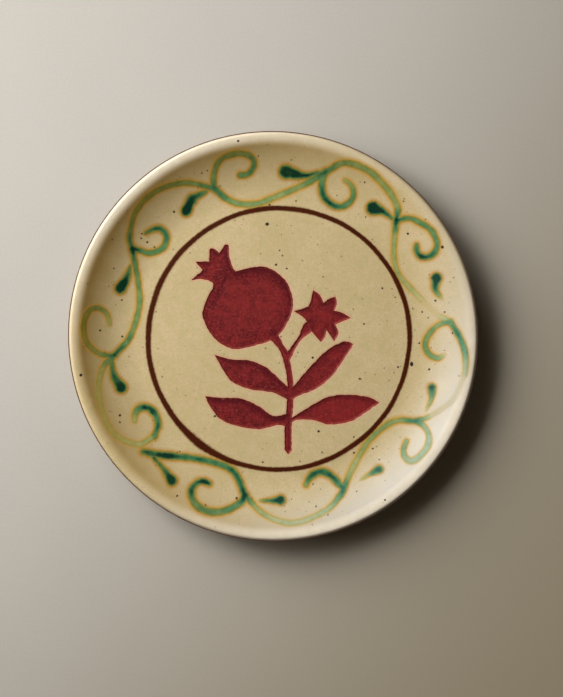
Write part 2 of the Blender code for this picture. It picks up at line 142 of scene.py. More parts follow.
JOINT = {
    "left_upper": (-90.0, 56.0), "top_left": (-38.0, 94.8), "top_right": (33.5, 105.0),
    "right_upper": (78.6, 73.8), "right": (113.0, 9.0), "right_lower": (91.0, -54.2),
    "bottom_right": (45.0, -97.0), "bottom_left": (-18.0, -102.0), "left_lower": (-76.0, -64.0),
    "left": (-101.5, -12.0), "bottom_end": (-83.0, -73.8),
}

# The green strokes. Each has the points that the brush passed, the half width of its mark at equal steps
# along it, and how much colour it left there, from 0 for none to 1 for a full dark blot.
STROKES = {
    "vine_top_left": (
        ["left_upper", (-91.6, 64), (-86.8, 80.4), (-74.3, 92.4), (-56.5, 97.8), "top_left"],
        (2.0, 1.5, 1.5, 1.5, 1.6, 1.7), (1, 0.65, 0.62, 0.6, 0.65, 0.6, 0.5, 0.7)),
    "vine_top": (
        ["top_left", (-27, 86.5), (-12.7, 84.6), (2, 89.5), (21.6, 98), "top_right"],
        (2.2, 1.9, 1.9, 1.9, 1.8, 2.2), (0.8, 0.48, 0.42, 0.4, 0.36, 0.38, 0.5, 0.85)),
    "vine_top_right": (
        ["top_right", (45.7, 110.3), (60.5, 105), (72, 94.3), (79, 83), "right_upper"],
        (1.9, 1.8, 1.9, 1.9, 1.8, 1.9), (0.85, 0.52, 0.5, 0.48, 0.42, 0.38, 0.38, 0.95)),
    "vine_right_upper": (
        ["right_upper", (77.3, 57), (77.9, 47.3), (81, 38.6), (91.3, 27.3), (103.8, 14.7), "right"],
        (1.9, 1.5, 1.5, 1.6, 1.9, 2.0), (1, 0.32, 0.3, 0.3, 0.26, 0.18, 0.1, 0.06, 0.3)),
    "vine_right": (
        ["right", (117.7, 1.2), (121.2, -7.5), (122.3, -17), (121, -26), (114.3, -40.3), (100, -51),
         "right_lower"],
        (1.8, 2.0, 1.9, 1.7, 1.5, 1.5, 1.5), (0.55, 0.85, 0.55, 0.22, 0.09, 0.07, 0.08, 0.12, 0.85)),
    "vine_right_lower": (
        ["right_lower", (77.4, -54.6), (63, -65), (52.8, -80.6), "bottom_right"],
        (1.8, 1.7, 1.7, 1.8, 1.9), (0.85, 0.36, 0.37, 0.38, 0.33, 0.25, 0.25, 0.75)),
    "vine_bottom": (
        ["bottom_right", (42.6, -102), (33, -111.4), (12.6, -118.9), (-5.7, -113.6), "bottom_left"],
        (2.0, 1.8, 1.8, 1.8, 1.6, 1.8), (0.85, 0.42, 0.25, 0.18, 0.18, 0.18, 0.18, 0.26, 0.3, 0.95)),
    "vine_bottom_left": (
        ["bottom_left", (-26.4, -86), (-46.4, -79), (-72, -76), "bottom_end"],
        (2.3, 2.2, 2.2, 2.1, 2.5, 2.1), (1, 0.75, 0.74, 0.68, 0.74, 0.78, 0.88, 1, 0.75)),
    "vine_left_upper": (
        ["left_upper", (-88.6, 46.4), (-86.7, 36), (-85.8, 20), (-91.6, 0), "left"],
        (1.9, 1.6, 1.7, 1.7, 1.9), (1, 0.58, 0.5, 0.48, 0.47, 0.48, 0.58, 0.95)),
    "vine_left_lower": (
        ["left", (-109, -21), (-111, -38.2), (-102.8, -60.2), (-87.3, -68.9), "left_lower"],
        (1.8, 1.6, 1.6, 1.7, 1.7), (0.85, 0.28, 0.2, 0.18, 0.18, 0.2, 0.22, 0.28)),
    "curl_left_upper": (
        ["left_upper", (-85, 54.8), (-80, 53.3), (-74, 54.6), (-70, 57.5), (-68.4, 62), (-69.2, 66),
         (-72.5, 68.9), (-76, 68.6), (-79.5, 67.2), (-81.5, 66)],
        (1.7, 1.8, 2.0, 2.1, 2.0, 1.2), (1, 0.64, 0.56, 0.56, 0.78, 0.9, 0.6)),
    "curl_top_left": (
        ["top_left", (-38.3, 99), (-37.8, 103.5), (-35.5, 110), (-31.5, 113.7), (-26, 115.7),
         (-20.5, 116.3), (-15.6, 115.2), (-12.6, 112.3), (-12.6, 108.3), (-14.8, 104.8), (-18, 103.2),
         (-21.3, 103)],
        (2.0, 1.7, 1.7, 1.8, 1.9, 1.8), (0.75, 0.5, 0.62, 0.65, 0.65, 0.62, 0.75, 0.55)),
    "curl_top_right": (
        ["top_right", (31.8, 101.5), (31, 97), (31.6, 92), (33.6, 87.8), (38, 84.2), (43, 83), (47.8, 84.8),
         (51, 89), (51, 93.5), (49, 97.2), (45.9, 99.5)],
        (2.0, 2.3, 2.3, 2.0, 1.8, 1.3), (0.75, 0.5, 0.9, 0.95, 0.65, 0.58, 0.5, 0.3)),
    "curl_right_upper": (
        ["right_upper", (83.5, 75), (88.5, 74.6), (93.5, 72.2), (98, 69.5), (101.8, 65.5), (104, 60),
         (104, 55.8), (101.5, 52), (97, 50.4), (93.4, 51.9), (91.7, 55), (91.5, 58)],
        (1.7, 1.7, 1.8, 1.8, 2.1, 1.8), (0.9, 0.58, 0.64, 0.56, 0.56, 0.78, 1, 0.6)),
    "curl_right": (
        ["right", (108.5, 8.4), (104.8, 6.6), (101.3, 3.2), (98.2, -1.5), (97.4, -6.1), (99.1, -10.8),
         (102.8, -13.4), (106, -13.9), (109.3, -11.6)],
        (1.7, 1.6, 1.7, 1.8, 1.9, 1.3), (0.6, 0.42, 0.45, 0.42, 0.5, 0.55, 0.42, 0.1)),
    "curl_right_lower": (
        ["right_lower", (95, -56.4), (98.2, -60.5), (99.3, -65), (98.2, -70), (95, -74.4), (91, -78.2),
         (87, -79.4), (84, -76.8), (83.2, -73), (84, -69.5), (85.2, -67)],
        (1.8, 1.8, 1.9, 2.0, 2.0, 1.4), (0.85, 0.32, 0.28, 0.3, 0.26, 0.25, 0.32, 0.4, 0.35)),
    "curl_bottom_right": (
        ["bottom_right", (42.3, -94.8), (39.5, -91.6), (36, -88.7), (31.8, -87), (27.8, -87.4),
         (24.4, -89.6), (22.2, -92.4), (21, -95.2)],
        (2.1, 2.3, 2.5, 2.3, 1.6), (0.85, 0.75, 0.8, 0.85, 0.8, 0.4)),
    "curl_bottom_left": (
        ["bottom_left", (-20.2, -105.6), (-24.5, -108.6), (-30, -111), (-36, -112), (-42, -111.3),
         (-47.3, -108.8), (-51, -104.8), (-52.3, -100), (-51.2, -96.2), (-48, -93.3), (-44.4, -93),
         (-41, -94.3)],
        (2.3, 2.2, 2.3, 2.3, 2.2, 1.8), (1, 0.6, 0.62, 0.65, 0.65, 0.72, 0.98, 0.85)),
    "curl_left_lower": (
        ["left_lower", (-74.8, -60.5), (-73.8, -57), (-74.4, -52.8), (-76.5, -48.9), (-79.6, -46.2),
         (-83.5, -45.5), (-86.7, -47), (-88.5, -50.2), (-88.8, -54)],
        (1.8, 2.1, 2.4, 2.4, 1.5), (0.6, 0.85, 0.7, 0.85, 0.9, 0.55, 0.2)),
    "curl_left": (
        ["left", (-105.5, -12.4), (-110.5, -11.3), (-114.8, -8.6), (-118.3, -4.6), (-120.1, 1),
         (-120.5, 6.5), (-119.3, 12.2), (-116.6, 16.6), (-112.2, 18), (-108.2, 16.2), (-105.7, 12.8),
         (-104.7, 7.6)],
        (1.6, 1.5, 1.5, 1.5, 1.5, 1.2), (0.9, 0.5, 0.42, 0.48, 0.52, 0.55, 0.45, 0.2)),
    "drop_left_upper": (
        [(-91.5, 45), (-94, 37), (-97.9, 30.6)],
        (0.8, 2.4, 3.8), (0.5, 0.95, 1)),
    "drop_top_left": (
        [(-43.3, 92.4), (-51.4, 88), (-55.7, 80.2)],
        (1.3, 3.0, 3.5), (0.6, 0.95, 1)),
    "drop_top": (
        [(29, 104.8), (20, 102.8), (8, 105.2)],
        (1.1, 2.2, 4.6), (0.8, 0.9, 1)),
    "drop_right_upper": (
        [(76, 75.2), (70.4, 79.5), (63.8, 82)],
        (1.0, 2.2, 4.6), (0.6, 0.95, 1.05)),
    "drop_right": (
        [(108, 23.4), (103.8, 29.9), (104.1, 37)],
        (0.8, 2.0, 3.4), (0.1, 0.75, 1)),
    "drop_right_lower": (
        [(97.6, -47.4), (101, -40), (101.4, -33)],
        (0.8, 1.4, 2.7), (0.1, 0.45, 1)),
    "drop_bottom_right": (
        [(55.3, -92), (61.2, -88.5), (67.7, -85)],
        (0.7, 1.3, 2.7), (0.1, 0.45, 0.95)),
    "drop_bottom": (
        [(-8, -105.2), (-2, -105.1), (4.6, -104.7)],
        (0.8, 1.5, 3.2), (0.3, 0.85, 1)),
    "drop_bottom_left": (
        [(-76.2, -77.6), (-69.6, -85.4), (-64.5, -92.3)],
        (1.2, 1.6, 3.3), (0.9, 0.7, 0.9, 1)),
    "drop_left": (
        [(-103.5, -15.5), (-102, -25), (-97.3, -32.7)],
        (1.2, 2.1, 3.8), (0.5, 0.8, 1)),
}
# Each stroke's body reaches a little past its mark. Where two cross, the later kind lies higher.
STROKE_STEP = 0.8
STROKE_EDGE = 1.35
STROKE_ACROSS = 13
STROKE_LIFT = {"vine": 0.020, "curl": 0.027, "drop": 0.034}
STROKE_DOME = 0.03
STROKE_SUNK = 0.012
RIBBON_BELOW = 0.08
CAP_ANGLES = [82, 64, 45, 24]
# The painted field: how many half widths it reaches, how sharply the edges and the inks of strokes that
# meet are kept apart, and the ink under which a mark narrows, and by how much.
FAR = 6.0
EDGE_BLEND = 6
INK_BLEND = 3.5
LEAST_PULL = 0.1
FADES_UNDER = 0.14
FADED_NARROWS = 1.2
TYPICAL_HALF = 1.8

# Where the glaze's depth changes, and where painted shade, painted sheen and a painted lip highlight lie
# round the key light: from which radius to which, and round which side.
POOL_AND_SHADE_RISES = (86, 120)
POOL_AND_SHADE_FALLS = (128, 122)
# Painted shade: the amber pooling on the wall is made strongest on the side away from the key light.
SHADE_TURN = math.radians(12)
# Painted sheen: the lit wall opposite the key light is made paler and greyer.
SHEEN_RISES = (94, 120)
SHEEN_TURN = math.radians(8)
LIP_RISES = (121, 126.5)
# Painted highlight: the lip is paler along the key light's axis.
LIP_HIGHLIGHT_ENDS = math.radians(126)
LIP_HIGHLIGHT_SIDE = math.radians(330)
BACK_LIP_RISES = (126.5, 129.5)

# The carved plant, in the order in which its shapes win where they overlap. Each has how heavily the slip
# lies in it, which darkens it, and the smooth runs of its outline, each from one corner to the next.
PLANT = {
    "red_stem": (0.2, [
        [(-3.5, -1), (-0.6, -3.5), (4.3, -9.4), (7.7, -20.3), (9.1, -31), (8.6, -45), (7.4, -58)],
        [(7.4, -73), (9.8, -75.4)], [(11.8, -73), (11.8, -58), (12.9, -42), (12.7, -28)],
        [(10.7, -15.3), (14.6, -7.3), (18.2, -2)], [(24.5, 2.8)], [(25.5, 10), (20, 8.2), (16.2, -0.2)],
        [(9.3, -9.8), (6, -4.5)], [(2.9, 1.4)],
    ]),
    "red_crown": (0.7, [
        [(-52.4, 36)], [(-45.2, 42.4)], [(-49.8, 47.7)], [(-41, 48)], [(-40.8, 56.3), (-38.4, 56.2)],
        [(-34.5, 53.5)], [(-31, 58.6), (-28.6, 58.1), (-28.2, 51.8)], [(-26.1, 44), (-30, 38)],
        [(-38.6, 31.5), (-39, 34.5), (-45.2, 36.6)],
    ]),
    "red_fruit": (1.0, [
        [(-26.1, 44), (-23, 41.8), (-15.3, 43.8), (-3.6, 44), (8.2, 35.2), (12.7, 21), (8.8, 8.2),
         (1, -1.2), (-12.3, -6), (-26, -8), (-37.8, -1.1), (-45, 12), (-43.5, 21.5)],
        [(-38.6, 31.5)],
    ]),
    "red_blossom": (0.25, [
        [(13.6, 16), (18.2, 17.6)], [(22.8, 19), (24.1, 23.2)], [(25.8, 29.6), (29.5, 26.8)],
        [(32.4, 21.5), (35.9, 24)], [(39.9, 25.4), (40.7, 21)], [(39.2, 16.4), (44.5, 14.9)],
        [(49.5, 11.9), (44.5, 9.5)], [(39.6, 7.6), (41.8, 2.4)], [(39.1, -3.3), (36.2, 1.2)],
        [(34.1, 4), (33.2, -0.4)], [(30.8, -3.6), (27.3, -0.2)], [(25.1, 2.7)], [(20.7, 11), (17.5, 13.4)],
    ]),
    "red_leaf_upper_left": (0.6, [
        [(11, -34), (4.5, -28), (-4.5, -20), (-15.5, -15.5), (-26, -15)],
        [(-37.5, -12), (-33, -20), (-26.5, -29), (-14.5, -34), (-0.5, -36)], [(11, -41.5)],
    ]),
    "red_leaf_lower_left": (0.9, [
        [(10, -49.5), (0, -51), (-9, -45), (-20.5, -40), (-33, -39.5)],
        [(-43.5, -38.5), (-41, -44), (-34, -53), (-23, -57.5), (-9, -59.5), (2.5, -57)], [(10, -58)],
    ]),
    "red_leaf_upper_right": (0.3, [
        [(11, -34), (14, -31), (22.5, -21), (34, -9.5), (45, -3.5)],
        [(51.5, -4.9), (45, -15), (37.5, -25.5), (27.5, -33.5), (15.5, -38.5)], [(11, -42)],
    ]),
    "red_leaf_lower_right": (0.1, [
        [(10, -53.5), (14, -51), (24.5, -44.5), (35, -39), (47, -37.5), (61, -39)],
        [(68, -42.5), (59.5, -48.5), (49.5, -54.5), (36, -56.5), (26, -53.8), (15, -53.6)], [(10, -57)],
    ]),
}
CREASE = [(-30, 37.9), (-33.2, 31.5), (-35.7, 25.8), (-38.3, 20.6)]
CREASE_DEPTH = 0.22
# The painted shade in the carved red lies along the edges that face this way.
SHADE_SIDE_TOWARDS = math.radians(62)

# The larger iron spots: where, and their radius.
SPOTS = [
    (-3.9, 71.9, 1.0), (1.8, 45.9, 0.7), (8.6, 43.4, 0.5), (58.2, 7.9, 0.5), (80, -19.7, 0.5),
    (86, 65.5, 0.6), (107.5, 56.6, 0.8), (45.4, 99.5, 0.6), (29.5, 95.8, 0.6), (-63.5, 79.7, 0.6),
    (-23.4, -103.6, 0.6), (-97.9, -50.5, 0.6), (-97.8, -54.9, 0.5), (-37.4, -51.2, 0.6), (29.1, -60.9, 0.6),
    (-122.1, -24.8, 0.8), (-61.1, -101.6, 0.5), (-22.2, 123.9, 0.6), (-80.6, 60.2, 0.5), (-96.7, -0.1, 0.5),
    (-110.5, 3.7, 0.5), (-97, 23.2, 0.5), (63.8, -72, 0.5), (71, -104, 0.5), (99.8, -21.2, 0.6),
    (93.6, -4.4, 0.5), (95.4, 15.6, 0.5), (113.7, 6.7, 0.7), (114.4, 2.1, 0.6), (55.4, -27.2, 0.5),
    (25.3, -13.7, 0.6), (5, -0.3, 0.4), (103.7, 22.8, 0.6), (88.6, -17.8, 1.1), (-2.4, 84.1, 0.7),
]
# The small freckles are scattered over the face, but not over the red or the ring line.
FRECKLES = 560
PAINTED_R = 123
OFF_RED = 1.2
OFF_LINE = 3
SPOT_SIDES = 10


# ---------------------------------------------------------------- shapes


def circle_of(count):
    """The angles of points round a circle, and the way to each."""
    angles = np.linspace(0, TAU, count, endpoint=False)
    return angles, np.column_stack([np.cos(angles), np.sin(angles)])


def unit(vectors):
    return vectors / np.maximum(np.linalg.norm(vectors, axis=1, keepdims=True), 1e-9)


def to_right(ahead):
    """The direction to the right of each direction of travel."""
    return np.column_stack([ahead[:, 1], -ahead[:, 0]])


def ahead_on_loop(path):
    """The direction of travel at each point of a closed path."""
    return unit(np.roll(path, -1, axis=0) - np.roll(path, 1, axis=0))


def share(value, none, all_of_it):
    """How far a value has come from one level to another, from 0 to 1."""
    return np.clip((value - none) / (all_of_it - none), 0, 1)


def bell(value, spread):
    return np.exp(-((value / spread) ** 2))


def oval(angle):
    """How far the rim stands out in a direction, against a true circle."""
    return 1 - OVAL * np.sin(2 * angle)


def face_height(r):
    """Height of the glazed face: a flat well, a wall that steepens, and an arc that levels at the crest."""
    r = np.asarray(r, float)
    wall = WELL_Z + WALL_CURVE * np.maximum(0, np.minimum(r, WALL_R) - WELL_R) ** 2
    angle = math.atan(2 * WALL_CURVE * (WALL_R - WELL_R))
    arc_r = (CREST_R - WALL_R) / math.sin(angle)
    into = CREST_R - np.clip(r, WALL_R, CREST_R)
    return np.where(r > WALL_R, wall + np.sqrt(arc_r**2 - into**2) - arc_r * math.cos(angle), wall)


def wander(x, y):
    """The hand's unevenness in the height of the wall and lip."""
    angle = np.arctan2(y, x)
    waves = 0.6 * np.sin(2 * angle + 0.7) + 0.3 * np.sin(3 * angle + 2.1) + 0.2 * np.sin(7 * angle)
    return LIP_WANDER * share(np.hypot(x, y), WELL_R, PLATE_R) ** 2 * waves


def surface_z(x, y):
    """Height of the glazed face at a point inside the crest."""
    return face_height(np.hypot(x, y) / oval(np.arctan2(y, x))) + wander(x, y)


def bezier(start, start_pull, end_pull, end, count):
    """Points along a cubic curve, without its first point."""
    t = np.linspace(0, 1, count + 1)[1:, None]
    controls = [np.array(point, float) for point in (start, start_pull, end_pull, end)]
    weights = ((1 - t) ** 3, 3 * t * (1 - t) ** 2, 3 * t * t * (1 - t), t**3)
    return sum(weight * control for weight, control in zip(weights, controls))


def smooth_path(points, step):
    """Points about a step apart along a smooth curve through the given points."""
    given = np.array(points, float)
    padded = np.vstack([2 * given[0] - given[1], given, 2 * given[-1] - given[-2]])
    path = [given[0]]
    for a, b, c, d in zip(padded, padded[1:], padded[2:], padded[3:]):
        count = max(1, round(float(np.linalg.norm(c - b)) / step))
        for t in np.linspace(0, 1, count + 1)[1:]:
            path.append(0.5 * (2 * b + (c - a) * t + (2 * a - 5 * b + 4 * c - d) * t**2
                               + (3 * b - a - 3 * c + d) * t**3))
    return np.array(path)


def lengths(path):
    """Distance along a path to each of its points."""
    return np.concatenate([[0], np.cumsum(np.linalg.norm(np.diff(path, axis=0), axis=1))])


def hand_noise(at, seed, wavelength):
    """A smooth random wave between about -1 and 1 along a length."""
    draws = random.Random(seed)
    waves = [(wavelength * draws.uniform(0.5, 1.7), draws.uniform(0, TAU)) for _ in range(5)]
    return sum(np.sin(TAU * at / length + phase) for length, phase in waves) / 2.6


def inside(points, outline):
    """Whether each point lies inside a closed outline."""
    x, y = points.T
    hit = np.zeros(len(points), bool)
    for (ax, ay), (bx, by) in zip(outline, np.roll(outline, -1, axis=0)):
        if ay != by:
            hit ^= ((ay > y) != (by > y)) & (x < ax + (y - ay) / (by - ay) * (bx - ax))
    return hit


def nearest_on(points, starts, ends, chunk=2000):
    """For each point, the distance to the nearest of the segments, which one it is, and how far along it."""
    along = ends - starts
    length2 = np.maximum(np.sum(along**2, axis=1), 1e-12)
    distance, which, part = np.empty(len(points)), np.empty(len(points), int), np.empty(len(points))
    for k in range(0, len(points), chunk):
        some = points[k : k + chunk, None] - starts[None]
        t = np.clip(np.sum(some * along, axis=2) / length2, 0, 1)
        apart = np.linalg.norm(some - t[:, :, None] * along, axis=2)
        best = apart.argmin(axis=1)
        rows = np.arange(len(best))
        distance[k : k + chunk] = apart[rows, best]
        which[k : k + chunk] = best
        part[k : k + chunk] = t[rows, best]
    return distance, which, part


def to_loop(points, loop):
    """The distance from each point to a closed outline."""
    return nearest_on(points, loop, np.roll(loop, -1, axis=0))[0]


# ---------------------------------------------------------------- the painting


def make_strokes():
    """Each stroke's path, with the half width of its mark and its colour at each point."""
    made = {}
    for seed, (name, (points, half, ink)) in enumerate(STROKES.items()):
        path = smooth_path([JOINT.get(point, point) for point in points], STROKE_STEP)
        at = lengths(path)
        half, ink = (np.interp(at, np.linspace(0, at[-1], len(knots)), knots) for knots in (half, ink))
        width = half * (1 + 0.06 * hand_noise(at, seed, 9))
        made[name] = (path, width, np.clip(ink * (1 + 0.1 * hand_noise(at, seed + 100, 14)), 0, 1.1))
    return made


def painted(points):
    """The painting at each point: 'edge' is 0 along a stroke's middle and 1 at its edge, 'ink' its colour,
    and 'wide' the stroke's half width."""
    count, faint = len(points), 1e-9
    nearness, ink = np.zeros(count), np.zeros(count)
    weight, wide = np.full(count, faint), np.full(count, TYPICAL_HALF * faint)
    for path, half, colour in strokes.values():
        reach = FAR * half.max()
        close = np.all((points > path.min(0) - reach) & (points < path.max(0) + reach), axis=1)
        close = np.nonzero(close)[0]
        if len(close) == 0:
            continue
        distance, which, part = nearest_on(points[close], path[:-1], path[1:])
        here_half, here_ink = (line[which] * (1 - part) + line[which + 1] * part for line in (half, colour))
        edge = distance / here_half + FADED_NARROWS * np.clip(1 - here_ink / FADES_UNDER, 0, 1)
        nearness[close] += np.exp(-EDGE_BLEND * edge)
        pull = np.exp(-INK_BLEND * edge**2) * (LEAST_PULL + here_ink) ** 2 + faint * np.exp(-edge)
        weight[close] += pull
        ink[close] += pull * here_ink
        wide[close] += pull * here_half
    edge = -np.log(np.maximum(nearness, math.exp(-EDGE_BLEND * FAR))) / EDGE_BLEND
    return {"edge": np.clip(edge, 0, FAR), "ink": ink / weight, "wide": wide / weight}


def glaze_depth_and_painted_light(points):
    """Where the glaze is pooling on the wall, with painted shade there on the side away from the key light;
    where it is breaking thin and pale over the lip, with a painted highlight along the key light's axis; and
    the painted sheen on the lit wall.
    """
    x, y = points.T
    angle = np.arctan2(y, x)
    r = np.hypot(x, y) / oval(angle)
    towards_key = np.cos(angle - KEY_AZIMUTH - SHADE_TURN)
    # Painted shade: amber pooling, strongest on the wall away from the key light.
    pool_and_shade = share(r, *POOL_AND_SHADE_RISES) ** 3 * share(r, *POOL_AND_SHADE_FALLS) * np.clip(0.36 + 0.64 * towards_key, 0.06, 1)
    # Painted sheen on the wall that faces the key light.
    lit_wall_sheen = np.clip(-np.cos(angle - KEY_AZIMUTH + SHEEN_TURN), 0, 1) ** 1.5 * share(r, *SHEEN_RISES) ** 1.2
    lip = share(r, *LIP_RISES)
    # Painted highlight: the lip's paleness is strongest along the key light's axis.
    breaks_and_highlight = 0.6 + 0.5 * np.cos(2 * (angle - LIP_HIGHLIGHT_ENDS)) + 0.22 * np.cos(angle - LIP_HIGHLIGHT_SIDE)
    return {"pool_and_shade": pool_and_shade, "lip": lip * lip * (3 - 2 * lip) * np.clip(breaks_and_highlight, 0.05, 1), "lit_wall_sheen": lit_wall_sheen}


def face_values(points):
    return {**painted(points[:, :2]), **glaze_depth_and_painted_light(points[:, :2])}


# ---------------------------------------------------------------- meshes


def add_piece(name, points, faces, cad_nodes, finish, values=None, sharp=40):
    """A mesh piece from points in millimetres, which stands for its CAD nodes."""
    mesh = bpy.data.meshes.new(name)
    mesh.from_pydata((np.asarray(points, float) * MM).tolist(), [], faces)
    for key, column in (values or {}).items():
        mesh.attributes.new(key, "FLOAT", "POINT").data.foreach_set("value", np.asarray(column, np.float32))
    mesh.materials.append(finish)
    mesh.shade_smooth()
    mesh.set_sharp_from_angle(angle=math.radians(sharp))
    piece = bpy.data.objects.new(name, mesh)
    bpy.context.scene.collection.objects.link(piece)
    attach(piece, ROOT)
    if cad_nodes:
        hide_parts(*cad_nodes)


def open_edges(faces):
    """The edges of triangles that no second triangle shares."""
    edges = np.concatenate([faces[:, [0, 1]], faces[:, [1, 2]], faces[:, [2, 0]]])
    known = set(map(tuple, edges.tolist()))
    return sorted((a, b) for a, b in known if (b, a) not in known)


def slab(top, bottom, faces):
    """The points and faces of a closed body: a sheet, its copy below facing down, and walls between."""
    count = len(top)
    walls = sorted((b, a, a + count, b + count) for a, b in open_edges(faces))
    return np.vstack([top, bottom]), faces.tolist() + (faces[:, ::-1] + count).tolist() + walls


def ring_quads(low, high):
    """The faces between two rings of points."""
    return np.column_stack([low, high, np.roll(high, -1), np.roll(low, -1)])


def turned_piece(name, profile, cad_node, finish, unevenness=None, values=None, sharp=50):
    """A closed section of (radius, height), anticlockwise, turned about the axis."""
    profile = np.asarray(profile, float)
    angles, turn = circle_of(AROUND)
    x, y = (np.outer(profile[:, 0], column) for column in (turn * oval(angles)[:, None]).T)
    z = np.repeat(profile[:, 1][:, None], AROUND, axis=1)
    if unevenness:
        x, y, z = unevenness(x, y, z)
    points = np.column_stack([x.ravel(), y.ravel(), z.ravel()])
    rings = np.arange(len(points)).reshape(len(profile), AROUND)
    faces = np.vstack([ring_quads(low, high) for low, high in zip(rings, np.roll(rings, -1, axis=0))])
    made = values(np.hypot(*points[:, :2].T)) if values else None
    add_piece(name, points, faces.tolist(), [cad_node], finish, made, sharp)


def lip_curve(count):
    """The lip from its crest to its outermost edge, as (radius, height)."""
    crest = float(face_height(CREST_R))
    return bezier((CREST_R, crest), (CREST_R + CREST_PULL, crest), (PLATE_R, LIP_Z + LIP_PULL),
                  (PLATE_R, LIP_Z + LIP_LINE_HALF), count)


def under_height(r):
    return UNDER_Z + UNDER_CURVE * np.maximum(0, np.asarray(r, float) - UNDER_R) ** 2


def back_curve():
    """The glazed underside from the lip's edge in to the foot, as (radius, height)."""
    end = (UNDER_END_R, float(under_height(UNDER_END_R)))
    slope = 2 * UNDER_CURVE * (UNDER_END_R - UNDER_R)
    start = (PLATE_R, LIP_Z - LIP_LINE_HALF)
    turn = bezier(start, (PLATE_R, LIP_Z - LIP_PULL), (end[0] + LIP_PULL, end[1] + LIP_PULL * slope), end, 10)
    inmost = FOOT_R + 0.3
    radii = np.append(np.arange(UNDER_END_R - 1, inmost, -1.0), inmost)
    return np.vstack([start, turn, np.column_stack([radii, under_height(radii)])])


def inward(profile, depth):
    """The same profile moved to its right by a depth, square to its surface."""
    return profile + depth * to_right(unit(np.gradient(profile, axis=0)))


# ---------------------------------------------------------------- the carved plant and the face


def outline_of(name):
    """A shape's closed anticlockwise outline, with the small waver of a cutting tool."""
    seed = list(PLANT).index(name) + 7
    runs = PLANT[name][1]
    corners = [run[0] for run in runs]
    whole_runs = [[*run, corner] for run, corner in zip(runs, corners[1:] + corners[:1])]
    path = np.vstack([smooth_path(run, OUTLINE_STEP)[:-1] for run in whole_runs])
    x, y = path.T
    if np.sum(x * np.roll(y, -1) - np.roll(x, -1) * y) < 0:
        path = path[::-1]
    at = lengths(path)
    waver = 0.13 * hand_noise(at, seed, 7) + 0.05 * hand_noise(at, seed + 50, 1.7)
    return path + to_right(ahead_on_loop(path)) * waver[:, None]


def silhouette_of(outlines):
    """The segments of all outlines that lie outside every other outline."""
    starts, ends = [], []
    for name, outline in outlines.items():
        following = np.roll(outline, -1, axis=0)
        hidden = np.zeros(len(outline), bool)
        for other, other_outline in outlines.items():
            if other != name:
                hidden |= inside((outline + following) / 2, other_outline)
        starts.append(outline[~hidden])
        ends.append(following[~hidden])
    return np.vstack(starts), np.vstack(ends)


def well_points(silhouette):
    """Points that fill the well: a fine border along each outline, and a coarser net between."""
    starts, ends = silhouette
    out = to_right(unit(ends - starts))
    found = []
    for offset in BORDER_OFFSETS:
        moved = (starts + ends) / 2 + offset * out
        distance = nearest_on(moved, starts, ends)[0]
        found.append(moved[np.abs(distance - abs(offset)) < 0.06])
    rows = np.arange(-INNER_R, INNER_R, WELL_STEP * ROW_PITCH)
    columns = np.arange(-INNER_R, INNER_R, WELL_STEP)
    net = np.array([(x + WELL_STEP / 2 * (k % 2), y) for k, y in enumerate(rows) for x in columns])
    points = np.vstack([*found, net[nearest_on(net, starts, ends)[0] > BORDER]])
    return points[np.hypot(*points.T) < INNER_R - RIM_FREE]


def triangulated(outlines, silhouette):
    """The well's points and triangles, with every outline and the rim circle as edges."""
    circle = INNER_R * circle_of(AROUND)[1]
    points, edges, first = [], [], 0
    for loop in (circle, *outlines.values()):
        count = len(loop)
        points.append(loop)
        edges += [(first + k, first + (k + 1) % count) for k in range(count)]
        first += count
    points = np.vstack([*points, well_points(silhouette)])
    made = delaunay_2d_cdt([Vector(point) for point in points.tolist()], edges, [], 0, 1e-4)
    corners = np.array([tuple(point) for point in made[0]])
    faces = np.array([face[:3] for face in made[2]])
    a, b, c = (corners[faces[:, k]] for k in range(3))
    area = (b[:, 0] - a[:, 0]) * (c[:, 1] - a[:, 1]) - (b[:, 1] - a[:, 1]) * (c[:, 0] - a[:, 0])
    faces[area < 0] = faces[area < 0][:, ::-1]
    return corners, faces, circle


def used_only(points, faces, *columns):
    """The points that some faces use, with the faces renumbered."""
    used, index = np.unique(faces, return_inverse=True)
    return points[used], index.reshape(faces.shape), [column[used] for column in columns]


